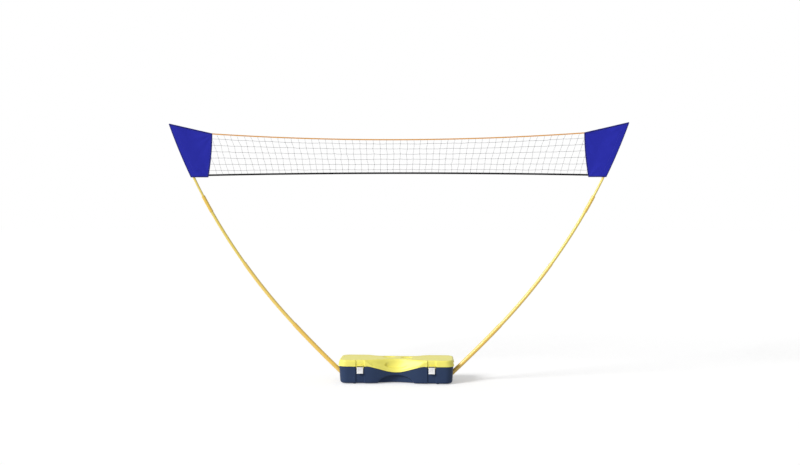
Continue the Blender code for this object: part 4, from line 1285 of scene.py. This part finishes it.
# %% The bindings
BINDING_HALF = 0.0024
BINDING_STEPS = 60
BINDING_CREASE = 50
BINDINGS = {
    "top": {"rail": top_edge, "out": 0.0060, "over": 0.0025, "instead_of": "sleeve_binding"},
    "outer": {"rail": outer_edge, "out": 0.0008, "over": 0.0055, "instead_of": "sleeve"},
    "inner": {"rail": inner_edge, "out": 0.0008, "over": 0.0070, "instead_of": "sleeve"},
}
HEM_OUTLINE = ((-0.0006, 0.0), (-0.0006, 0.0011), (0.0035, 0.0015), (0.0070, 0.0012), (0.0070, 0.0003))


def rail_inward(rail, share):
    """Square to an edge of the sleeve, towards its middle."""
    along = (rail(min(share + 0.01, 1.0)) - rail(max(share - 0.01, 0.0))).normalized()
    inward = Vector((along.z, 0, -along.x))
    middle = (TIP + INNER_TOP + INNER_BOTTOM + OUTER_BOTTOM) / 4
    return inward if inward.dot(middle - rail(share)) > 0 else -inward


def binding_outline(out, over, half):
    """(depth into the sleeve, half thickness) round a folded tape."""
    front = [(over, 0.80), (over * 0.8, 1.0), (0.0, 1.04), (-out * 0.55, 0.92), (-out * 0.92, 0.55)]
    front = [(depth, -half * share) for depth, share in front]
    return front + [(-out, 0.0)] + [(depth, -y) for depth, y in reversed(front)]


def add_binding(name, mesh, side_name, node):
    """A piece of binding tape, which rides with its sleeve's pole."""
    name = f"binding_{name}_{side_name}"
    add_piece(name, mesh, NAVY_BINDING, f"pole_{side_name}", [node], BINDING_CREASE)


for side_name, side in SIDES:
    for name, facts in BINDINGS.items():
        bm = bmesh.new()
        outline = binding_outline(facts["out"], facts["over"], BINDING_HALF)
        rows = []
        for step in range(BINDING_STEPS + 1):
            share = step / BINDING_STEPS
            place = facts["rail"](share)
            inward = rail_inward(facts["rail"], share)
            lean = fold_height(place + inward * facts["over"], side)
            rows.append([place + inward * depth + Vector((0, y + lean, 0)) for depth, y in outline])
        closed_bar(bm, rows)
        node = f"{facts['instead_of']}_{side_name}"
        add_binding(name, mesh_of(bm, node, side), side_name, node)
    bm = bmesh.new()
    for front in (True, False):
        rows = []
        for step in range(BINDING_STEPS + 1):
            place = bottom_edge(step / BINDING_STEPS)
            row = []
            for height, lift in HEM_OUTLINE:
                row.append(on_sleeve(place + Vector((0, 0, height)), side, front, lift))
            rows.append(row)
        closed_bar(bm, rows)
    add_binding("hem", mesh_of(bm, "hem", side), side_name, f"sleeve_{side_name}")
print("bindings:", 2 * (len(BINDINGS) + 1))

# %% [markdown]
# Rows of stitches hold all this together, in a thread that is a little lighter than the cloth: partly
# the thread's own colour and partly a painted highlight for the light lines along the sleeve's folded edges.
# Each stitch is a real little loop of thread that dips into the cloth at both ends: at this size a bump
# would do for the eye, but then the mesh would have no stitches.

# %% The stitches
THREAD_RADIUS = 0.00032
STITCH_PITCH = 0.0055
STITCH_LENGTH = 0.0040
STITCH_ARCH = ((0.0, -0.0004), (0.25, 0.00022), (0.75, 0.00022), (1.0, -0.0004))
THREAD_SIDES = 5
LINE_STEPS = 80
CHANNEL_STITCHES_FROM_HEM = 0.010
CHANNEL_STITCHES_RUN_ON = 0.002


def stitch(bm, start, end, outward):
    """One stitch from start to end, arched outward and dipping in at its ends."""
    along = (end - start).normalized()
    across = along.cross(outward).normalized()
    frames = []
    for share, height in STITCH_ARCH:
        frames.append((start.lerp(end, share) + outward * height, across, outward))
    sweep(bm, frames, circle(THREAD_RADIUS, THREAD_SIDES))


def stitch_row(bm, line, side, lift):
    """Stitches on both faces of the sleeve, along a line of places in its plane."""
    length = sum((b - a).length for a, b in zip(line, line[1:]))
    count = int(length / STITCH_PITCH)
    for i in range(count):
        at = [(i * STITCH_PITCH + step) / length for step in (0.0, STITCH_LENGTH)]
        ends = [line_point(line, share) for share in at]
        for front in (True, False):
            outward = Vector((0, -1 if front else 1, 0))
            start, end = (on_sleeve(point, side, front, lift) for point in ends)
            stitch(bm, start, end, outward)


def line_point(line, share):
    position = share * (len(line) - 1)
    index = min(int(position), len(line) - 2)
    return line[index].lerp(line[index + 1], position - index)


def line_beside(edge, start, run, inset):
    """Places beside an edge of the sleeve; start and run are shares of the edge's length."""
    return [edge(start + run * share) + inset for share in shares]


shares = [i / LINE_STEPS for i in range(LINE_STEPS + 1)]
channel_line = []
channel_run = SLEEVE_OUTER_LENGTH + CHANNEL_STITCHES_RUN_ON
for share in shares:
    distance = POLE_LENGTH - SLEEVE_OUTER_LENGTH + CHANNEL_STITCHES_FROM_HEM + share * channel_run
    place, along = pole_point(distance)
    channel_line.append(place - outward_of(along) * CHANNEL_SEAM)
inner_line = line_beside(inner_edge, 0.02, 0.96, Vector((0.0045, 0, 0)))
second_line = line_beside(inner_edge, 0.03, 0.94, Vector((0.0105, 0, 0)))
hem_line = line_beside(bottom_edge, 0.03, 0.94, Vector((0, 0, 0.0040)))
top_line = line_beside(top_edge, 0.03, 0.92, rail_inward(top_edge, 0.5) * 0.0045)
outer_line = [outer_edge(0.02 + 0.95 * share) + rail_inward(outer_edge, share) * 0.0035 for share in shares]
STITCH_ROWS = [(channel_line, 0.0005), (inner_line, 0.0016), (second_line, 0.0005), (hem_line, 0.0016)]
STITCH_ROWS += [(top_line, 0.0005), (outer_line, 0.0016)]
for side_name, side in SIDES:
    bm = bmesh.new()
    for line, lift in STITCH_ROWS:
        stitch_row(bm, line, side, lift)
    mesh = mesh_of(bm, "stitches", side)
    name = f"sleeve_stitches_{side_name}"
    add_piece(name, mesh, BLUE_THREAD_AND_EDGE_HIGHLIGHT, f"pole_{side_name}", crease=CLOTH_CREASE)
    print("stitch faces:", len(mesh.polygons))

# %% [markdown]
# ## The net
# Twine is knotted into squares of about 42 mm, with six strings between the two tapes. A wireframe modifier
# on a grid would be quick, but its strings are dead straight and it has no knots, and a real net is told by
# its small unevenness. So each string is its own little tube through places on the hanging surface, each
# place nudged a little by a seeded random, with a knot wherever two strings cross. A pole can be pulled up a
# little out of its socket. The net is made in two halves, which meet in the middle and ride on no body.

# %% The hanging surface
TOP_TAPE_SAG = 0.041
BOTTOM_TAPE_RISE = 0.014
TOP_TAPE_LIFT = 0.0065
BOTTOM_TAPE_LIFT = 0.0080
NET_EDGE_SHARE = 0.119
NET_COLUMNS = 57
NET_ROWS = 7
NET_LEAN = 0.048
TAPE_HEIGHT = 0.008
BOTTOM_TAPE_HEIGHT = 0.0115
NET_HEIGHT = (inner_edge(1.0) - inner_edge(0.0)).length
NET_CREASE = 50


def hanging(share, height_share):
    """A place on the net's surface: along from left to right, up from the bottom tape to the top one."""
    right = inner_edge(height_share)
    left = Vector((-right.x, 0, right.z))
    place = left.lerp(right, share)
    hang = 4 * share * (1 - share)
    place.z += hang * (BOTTOM_TAPE_RISE * (1 - height_share) - TOP_TAPE_SAG * height_share)
    return place


def leaning(share, height_share):
    """The upright strings lean, most of all beside the sleeves, as the top is pulled out the hardest."""
    return share + NET_LEAN * (1 - 2 * share) * (0.5 - height_share)


def add_half(name, bm, side_name, finish, node):
    """A net piece for one half, which rides on no body."""
    bmesh.ops.recalc_face_normals(bm, faces=bm.faces)
    mesh = bpy.data.meshes.new(name)
    bm.to_mesh(mesh)
    bm.free()
    nodes = [node] if node else ()
    piece = add_piece(f"{name}_{side_name}", mesh, finish, None, nodes, NET_CREASE)
    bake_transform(piece)
    return piece


print("net height:", round(NET_HEIGHT, 3), "pitch:", round(2 * INNER_TOP.x / NET_COLUMNS, 4))

# %% [markdown]
# The crossings come first, one list for each upright string, because the strings both ways and the knots all
# go through them. Each is nudged mostly along the net, which is the way that knots slip.

# %% The crossings
NUDGE_ALONG = 0.0040
NUDGE_UP = 0.0016
NUDGE_OUT = 0.0012
uneven = random.Random(7)
low_share = (BOTTOM_TAPE_LIFT + TAPE_HEIGHT / 2) / NET_HEIGHT
high_share = 1 + (TOP_TAPE_LIFT - TAPE_HEIGHT / 2) / NET_HEIGHT
row_step = (1 - 2 * NET_EDGE_SHARE) / (NET_ROWS - 2)
row_shares = [0.0] + [NET_EDGE_SHARE + row_step * i for i in range(NET_ROWS - 1)] + [1.0]
row_heights = [low_share + (high_share - low_share) * share for share in row_shares]
crossings = {}
for column in range(-1, NET_COLUMNS + 2):
    line = []
    for row, height in enumerate(row_heights):
        share = leaning(column / NET_COLUMNS, height)
        place = hanging(share, height)
        nudge = [uneven.uniform(-1, 1) for _ in range(3)]
        if 0 < row < NET_ROWS:
            place += Vector((nudge[0] * NUDGE_ALONG, nudge[1] * NUDGE_OUT, nudge[2] * NUDGE_UP))
        line.append((place, min(share, 1 - share)))
    crossings[column] = line
print("crossings:", sum(len(line) for line in crossings.values()))

# %% [markdown]
# The upright strings lean outwards at the top, so the outermost ones end at a sleeve's edge. The level ones
# hang a touch slack from knot to knot, and each is cut in the middle, where the two halves meet.

# %% The strings and knots
ROW_STRING_RADIUS = 0.00080
COLUMN_STRING_RADIUS = 0.00066
KNOT_RADIUS = 0.0021
KNOT_SHAPE = Matrix.Diagonal((1.15, 1.0, 0.9, 1))
EDGE_SHARE = 0.0015
ROW_SLACK = (0.0004, 0.0014)
COLUMN_WAVE = 0.0008
MIDDLE_MARGIN = 0.0005


def between_sleeves(line):
    """The part of a column that shows: where it leans under a sleeve, it ends at the sleeve's edge."""
    kept = []
    for (before, gap_before), (after, gap_after) in zip(line, line[1:]):
        if gap_before > 0 and not kept:
            kept.append(before)
        if (gap_before > 0) != (gap_after > 0):
            kept.append(before.lerp(after, gap_before / (gap_before - gap_after)))
        if gap_after > 0:
            kept.append(after)
    return kept


def slack(start, end, sag):
    """The middle of a stretch of twine, hanging a touch below the straight line."""
    return start.lerp(end, 0.5) + Vector((0, 0, -sag))


def through_middle(line):
    """A line cut at the net's middle: its left part and its right part."""
    left = [place for place in line if place.x < -MIDDLE_MARGIN]
    right = [place for place in line if place.x > MIDDLE_MARGIN]
    after, before = right[0], left[-1]
    middle = before.lerp(after, -before.x / (after.x - before.x))
    return {"left": left + [middle], "right": [middle] + right}


strings = {"left": [], "right": []}
for row in range(1, NET_ROWS):
    shown = [line[row][0] for line in crossings.values() if line[row][1] > EDGE_SHARE]
    shown = [hanging(0.0, row_heights[row])] + shown + [hanging(1.0, row_heights[row])]
    line = []
    for start, end in zip(shown, shown[1:]):
        line += [start, slack(start, end, uneven.uniform(*ROW_SLACK))]
    for name, points in through_middle(line + [shown[-1]]).items():
        strings[name].append((points, ROW_STRING_RADIUS))
for column in crossings:
    line = between_sleeves(crossings[column])
    if len(line) < 2:
        continue
    waved = []
    for start, end in zip(line, line[1:]):
        waved += [start, start.lerp(end, 0.5) + Vector((uneven.uniform(-COLUMN_WAVE, COLUMN_WAVE), 0, 0))]
    name = "left" if column <= NET_COLUMNS / 2 else "right"
    strings[name].append((waved + [line[-1]], COLUMN_STRING_RADIUS))
for side_name, side in SIDES:
    bm = bmesh.new()
    for points, radius in strings[side_name]:
        string(bm, points, radius)
    for column, line in crossings.items():
        for place, gap in line[1:-1]:
            if gap > EDGE_SHARE and (column <= NET_COLUMNS / 2) == (side < 0):
                spin = Matrix.Rotation(uneven.uniform(0, math.pi), 4, "Y")
                knot = Matrix.Translation(place) @ spin @ KNOT_SHAPE
                bmesh.ops.create_icosphere(bm, subdivisions=2, radius=KNOT_RADIUS, matrix=knot)
    piece = add_half("net", bm, side_name, TWINE, "net_mesh")
    print(piece.name, "faces:", len(piece.data.polygons))

# %% [markdown]
# ## The tapes
# The top of the net is bound with an orange webbing tape and the bottom with a black one. Each is folded
# over the outermost string, so its cross-section is rounded along the fold and a little thicker there. The
# hanging curve has to be followed closely, or the long thin tape would show corners.

# %% The tapes
TAPE_THICKNESS = 0.003
TAPE_STEPS = 90
TAPE_ENDS_INSIDE = 0.004
TAPE_STITCH_PITCH = 0.009
TAPE_STITCH_ENDS = (0.2, 0.75)
TAPE_STITCH_LIFT = 0.40
ORANGE_THREAD = thread("orange_thread", (246, 196, 120), 0.7)
BLACK_THREAD = thread("black_thread", (16, 16, 17), 0.9)


def tape_outline(height, folded_up):
    """(out, up) round a folded tape from its lower to its upper edge."""
    half = TAPE_THICKNESS / 2
    levels = [(0.00, 0.45), (0.03, 0.72), (0.10, 0.80), (0.35, 0.78)]
    levels += [(0.62, 0.90), (0.82, 1.0), (0.94, 0.80), (1.0, 0.35)]
    if not folded_up:
        levels = [(1 - level, share) for level, share in reversed(levels)]
    front = [(-half * share, level * height) for level, share in levels]
    back = [(half * share, level * height) for level, share in reversed(levels)]
    return front + back


def tape_line(side, height_share):
    """Places along one half of a tape, from the middle to just inside the sleeve."""
    points = [hanging(0.5 + side * 0.5 * i / TAPE_STEPS, height_share) for i in range(TAPE_STEPS + 1)]
    return points + [points[-1] + Vector((side * TAPE_ENDS_INSIDE, 0, 0))]


TAPES = [
    {
        "name": "top_webbing",
        "node": "top_tape",
        "finish": ORANGE_WEBBING,
        "thread": ORANGE_THREAD,
        "slot": "orange_tape",
        "share": 1 + (TOP_TAPE_LIFT - TAPE_HEIGHT) / NET_HEIGHT,
        "height": TAPE_HEIGHT,
        "folded_up": True,
        "stitches_at": 0.24,
    },
    {
        "name": "bottom_webbing",
        "node": "bottom_tape",
        "finish": BLACK_WEBBING,
        "thread": BLACK_THREAD,
        "slot": "black_tape",
        "share": BOTTOM_TAPE_LIFT / NET_HEIGHT,
        "height": BOTTOM_TAPE_HEIGHT,
        "folded_up": False,
        "stitches_at": 0.76,
    },
]
for tape in TAPES:
    for side_name, side in SIDES:
        line = tape_line(side, tape["share"])
        frames = []
        for place, along in zip(line, headings(line)):
            frames.append((place, Vector((0, 1, 0)), Vector((-along.z, 0, along.x)) * side))
        bm = bmesh.new()
        sweep(bm, frames, tape_outline(tape["height"], tape["folded_up"]))
        add_half(tape["name"], bm, side_name, tape["finish"], tape["node"])
        bm = bmesh.new()
        count = int(abs(line[-1].x) / TAPE_STITCH_PITCH)
        height = tape["height"] * tape["stitches_at"]
        for i in range(count):
            start, end = (line_point(line, (i + step) / count) for step in TAPE_STITCH_ENDS)
            for face in (-1, 1):
                lift = Vector((0, face * TAPE_THICKNESS * TAPE_STITCH_LIFT, height))
                stitch(bm, start + lift, end + lift, Vector((0, face, 0)))
        add_half(f"{tape['name']}_stitches", bm, side_name, tape["thread"], None)
print("tapes:", [tape["name"] for tape in TAPES])

# %% [markdown]
# ## Hinges and latches
# Small plastic hardware is mostly a side view with a thickness, so each knuckle, latch and catch is its
# outline extruded across, with every sharp edge rounded by about half a millimetre: it is the glint on
# those edges that makes plastic look moulded. A knuckle rides with the shell that it is moulded to.

# %% Hinge knuckles
HINGE_KNUCKLE_RADIUS = 0.0045
HINGE_PIN_RADIUS = 0.002
HINGE_MIDDLE_WIDTH = 0.020
HINGE_SIDE_WIDTH = 0.014
RUNNING_GAP = 0.0006
HINGE_AXIS = (CASE_DEPTH / 2 + HINGE_KNUCKLE_RADIUS + RUNNING_GAP, SEAM_HEIGHT)
EDGE_ROUNDING = 0.0005
KNUCKLE_STEPS = 18


def prism(bm, outline, centre, width, rounding=EDGE_ROUNDING):
    """A (y, z) outline made thick across, with its sharp edges rounded."""
    part = bmesh.new()
    closed_bar(part, [[(x, y, z) for y, z in outline] for x in (centre - width / 2, centre + width / 2)])
    bmesh.ops.recalc_face_normals(part, faces=part.faces)
    if rounding:
        soften(part, rounding)
    mesh = bpy.data.meshes.new("part")
    part.to_mesh(mesh)
    part.free()
    bm.from_mesh(mesh)
    bpy.data.meshes.remove(mesh)


def rectangle(low, high):
    """A (y, z) outline between two corners."""
    return [(low[0], low[1]), (high[0], low[1]), (high[0], high[1]), (low[0], high[1])]


def knuckle_outline(above):
    """A knuckle and its web to the shell: above the seam on the lid, below it on the base."""
    y, z = HINGE_AXIS
    wall = CASE_DEPTH / 2 - CASE_WALL / 2 - (0.0 if above else RIM_GROOVE_DEPTH)
    sign = 1 if above else -1
    outline = [(wall, z + sign * RUNNING_GAP * 2), (wall, z + sign * HINGE_KNUCKLE_RADIUS)]
    for i in range(KNUCKLE_STEPS + 1):
        angle = math.pi / 2 - 1.5 * math.pi * i / KNUCKLE_STEPS
        rise = HINGE_KNUCKLE_RADIUS * math.sin(angle)
        outline.append((y + HINGE_KNUCKLE_RADIUS * math.cos(angle), z + sign * rise))
    inner_y = y - math.sqrt(HINGE_KNUCKLE_RADIUS**2 - (RUNNING_GAP * 2) ** 2)
    return outline + [(inner_y, z + sign * RUNNING_GAP * 2)]


def hinge_bore(centre):
    y, z = HINGE_AXIS
    reach = HINGE_MIDDLE_WIDTH + HINGE_SIDE_WIDTH
    return rod("hinge_bore", HINGE_PIN_RADIUS + GAP, (centre - reach, y, z), (centre + reach, y, z))


for side_name, side in SIDES:
    centre = side * LATCH_X
    bm = bmesh.new()
    prism(bm, knuckle_outline(True), centre, HINGE_MIDDLE_WIDTH)
    mesh = mesh_of(bm, "lid_knuckle")
    name = f"lid_knuckle_{side_name}"
    knuckle = add_piece(name, mesh, YELLOW_PLASTIC, "lid", ["case_lid"])
    cut(knuckle, [hinge_bore(centre)])
    bm = bmesh.new()
    offset = HINGE_MIDDLE_WIDTH / 2 + RUNNING_GAP + HINGE_SIDE_WIDTH / 2
    for step in (-1, 1):
        prism(bm, knuckle_outline(False), centre + step * offset, HINGE_SIDE_WIDTH)
    mesh = mesh_of(bm, "base_knuckles")
    name = f"base_knuckles_{side_name}"
    knuckles = add_piece(name, mesh, NAVY_PLASTIC, "case", ["case_base"])
    cut(knuckles, [hinge_bore(centre)])
print("hinges at", [round(side * LATCH_X, 4) for _, side in SIDES])

# %% [markdown]
# A latch is a knuckle round its pin, a plate, a hook behind the plate and a tab for the finger, all in one
# side view. Its front has a sunken panel with three ribs: the pocket is cut out by a boolean, and the ribs
# are bars laid into it.

# %% Latches
LATCH_WIDTH = 0.040
LATCH_LENGTH = 0.0395
LATCH_BELOW_SEAM = 0.0062
LATCH_THICKNESS = 0.004
LATCH_HOOK = 0.0025
LATCH_HOOK_HEIGHT = 0.003
LATCH_TAB_HEIGHT = 0.010
LATCH_KNUCKLE_RADIUS = 0.004
LATCH_PIN_RADIUS = 0.0015
LATCH_KNUCKLE_STEPS = 20
PLATE_BEHIND_AXIS = 0.25  # a share of its thickness
TAB_STEPS = 6
TAB_SLOPE = 0.8
TAB_CURVE = 1.6
CHANNEL_FLOOR_Y = -(CASE_DEPTH / 2 - CHANNEL_DEPTH)
LATCH_TOP = SEAM_HEIGHT - LATCH_BELOW_SEAM
LATCH_AXIS = (CHANNEL_FLOOR_Y - LATCH_KNUCKLE_RADIUS - RUNNING_GAP, LATCH_TOP - LATCH_KNUCKLE_RADIUS)
LATCH_BOTTOM = LATCH_TOP - LATCH_LENGTH
PANEL = {"half_width": 0.0115, "low": LATCH_BOTTOM + 0.0115, "high": LATCH_TOP - 0.0085, "depth": 0.0013}
RIB_HEIGHTS = [PANEL["low"] + (PANEL["high"] - PANEL["low"]) * share for share in (0.2, 0.5, 0.8)]
RIB_HEIGHT = 0.0016
RIB_ROUNDING = 0.0004
RIB_SUNK = 0.0003
RIB_ROOT = 0.0008
RIB_WIDTH = 1.6 * PANEL["half_width"]
POCKET_START = 0.002


def latch_outline():
    """Knuckle, plate, hook and finger tab from the side."""
    y, z = LATCH_AXIS
    back = y + LATCH_THICKNESS * PLATE_BEHIND_AXIS
    front = back - LATCH_THICKNESS
    tab = -(HINGE_AXIS[0] + HINGE_KNUCKLE_RADIUS)
    low_angle = -math.acos((back - y) / LATCH_KNUCKLE_RADIUS)
    high_angle = math.pi + math.acos((y - front) / LATCH_KNUCKLE_RADIUS)
    outline = []
    for i in range(LATCH_KNUCKLE_STEPS + 1):
        angle = low_angle + (high_angle - low_angle) * i / LATCH_KNUCKLE_STEPS
        along, up = LATCH_KNUCKLE_RADIUS * math.cos(angle), LATCH_KNUCKLE_RADIUS * math.sin(angle)
        outline.append((y + along, z + up))
    for i in range(TAB_STEPS + 1):
        share = i / TAB_STEPS
        height = LATCH_BOTTOM + LATCH_TAB_HEIGHT * (1 - TAB_SLOPE * share)
        outline.append((front + (tab - front) * share**TAB_CURVE, height))
    hook = back + LATCH_HOOK
    hook_top = LATCH_BOTTOM + LATCH_HOOK_HEIGHT
    return outline + [(tab, LATCH_BOTTOM), (hook, LATCH_BOTTOM), (hook, hook_top), (back, hook_top)]


front_face = LATCH_AXIS[0] - LATCH_THICKNESS * (1 - PLATE_BEHIND_AXIS)
for side_name, side in SIDES:
    centre = side * LATCH_X
    body = f"latch_{side_name}"
    bm = bmesh.new()
    prism(bm, latch_outline(), centre, LATCH_WIDTH)
    mesh = mesh_of(bm, "latch")
    latch = add_piece(f"latch_plate_{side_name}", mesh, WHITE_PLASTIC, body, [body])
    y, z = LATCH_AXIS
    reach = LATCH_WIDTH
    bore = rod("latch_bore", LATCH_PIN_RADIUS + GAP, (centre - reach, y, z), (centre + reach, y, z))
    pocket = bmesh.new()
    low = (front_face - POCKET_START, PANEL["low"])
    high = (front_face + PANEL["depth"], PANEL["high"])
    prism(pocket, rectangle(low, high), centre, 2 * PANEL["half_width"], 0.0)
    cut(latch, [bore, mesh_of(pocket, "panel")])
    bm = bmesh.new()
    for height in RIB_HEIGHTS:
        low = (front_face + RIB_SUNK, height - RIB_HEIGHT / 2)
        high = (front_face + PANEL["depth"] + RIB_ROOT, height + RIB_HEIGHT / 2)
        prism(bm, rectangle(low, high), centre, RIB_WIDTH, RIB_ROUNDING)
    mesh = mesh_of(bm, "latch_ribs")
    add_piece(f"latch_ribs_{side_name}", mesh, WHITE_PLASTIC, body, [body])
print("latch axis", [round(value, 4) for value in LATCH_AXIS], "bottom", round(LATCH_BOTTOM, 4))

# %% [markdown]
# The lid holds each latch between two ears under a ledge, on a turned steel pin, and the hook snaps under a
# catch on the base. They hardly show while the latch is shut, but they do as soon as it swings open.

# %% Latch mounts, pins and catches
EAR_WALL = 0.002
EAR_WIDTH = 0.0022
LEDGE_HEIGHT = 0.005
CATCH_FRONT_HEIGHT = 0.0028
CATCH_BACK_HEIGHT = 0.0064
CATCH_WIDTH = 0.024
EAR_STEPS = 12
PIN_PAST_EARS = 0.0006
for side_name, side in SIDES:
    centre = side * LATCH_X
    y, z = LATCH_AXIS
    front = y - LATCH_PIN_RADIUS - EAR_WALL
    low_z = SEAM_HEIGHT + RUNNING_GAP
    bm = bmesh.new()
    ledge = rectangle((front, low_z), (CHANNEL_FLOOR_Y + CASE_WALL / 2, low_z + LEDGE_HEIGHT))
    prism(bm, ledge, centre, LATCH_WIDTH + 2 * (RUNNING_GAP + EAR_WIDTH))
    ear = []
    radius = LATCH_PIN_RADIUS + EAR_WALL
    for i in range(EAR_STEPS + 1):
        angle = math.pi + math.pi * i / EAR_STEPS
        ear.append((y + radius * math.cos(angle), z + radius * math.sin(angle)))
    ear += [(y + radius, low_z + LEDGE_HEIGHT / 2), (front, low_z + LEDGE_HEIGHT / 2)]
    for step in (-1, 1):
        prism(bm, ear, centre + step * (LATCH_WIDTH / 2 + RUNNING_GAP + EAR_WIDTH / 2), EAR_WIDTH)
    mesh = mesh_of(bm, "latch_mount")
    add_piece(f"latch_mount_{side_name}", mesh, YELLOW_PLASTIC, "lid", ["case_lid"])
    bm = bmesh.new()
    half = LATCH_WIDTH / 2 + RUNNING_GAP + EAR_WIDTH + PIN_PAST_EARS
    profile = [(0.0, half), (LATCH_PIN_RADIUS * 0.7, half - 0.0001), (LATCH_PIN_RADIUS, half - 0.0005)]
    profile += [(radius, -height) for radius, height in reversed(profile)]
    turned(bm, profile, Vector((centre, y, z)), Vector((1, 0, 0)))
    mesh = mesh_of(bm, "latch_axle")
    add_piece(f"latch_axle_{side_name}", mesh, STEEL, "lid", [f"latch_pin_{side_name}"])
    bm = bmesh.new()
    catch_low = LATCH_BOTTOM + LATCH_HOOK_HEIGHT + 2 * RUNNING_GAP
    back = CHANNEL_FLOOR_Y + CASE_WALL / 2 + BASE_DRAFT * (SEAM_HEIGHT - catch_low) / SEAM_HEIGHT
    slope = CHANNEL_FLOOR_Y - LATCH_HOOK
    outline = [(slope, catch_low), (back, catch_low), (back, catch_low + CATCH_BACK_HEIGHT)]
    outline.append((slope, catch_low + CATCH_FRONT_HEIGHT))
    prism(bm, outline, centre, CATCH_WIDTH)
    mesh = mesh_of(bm, "latch_catch")
    add_piece(f"latch_catch_{side_name}", mesh, NAVY_PLASTIC, "case", ["case_base"])
print("catches from", round(catch_low, 4))

# %% [markdown]
# ## The pieces that keep their solid shape
# Hinge pins, sockets, feet and the plugs in the pole tips are already right as solids: they only need their
# finishes. A CAD piece is given its finish through its own material slot, and nothing else of it changes.

# %% The pieces that keep their solid shape
KEPT = {"hinge_pin": STEEL, "pole_socket": NAVY_PLASTIC, "foot_front": RUBBER, "foot_back": RUBBER}
KEPT["pole_tip_cap"] = BLACK_PLASTIC
for stem, finish in KEPT.items():
    for side_name, _ in SIDES:
        for slot in bpy.data.objects[f"{stem}_{side_name}"].material_slots:
            slot.material = finish
print("kept solids:", 2 * len(KEPT))
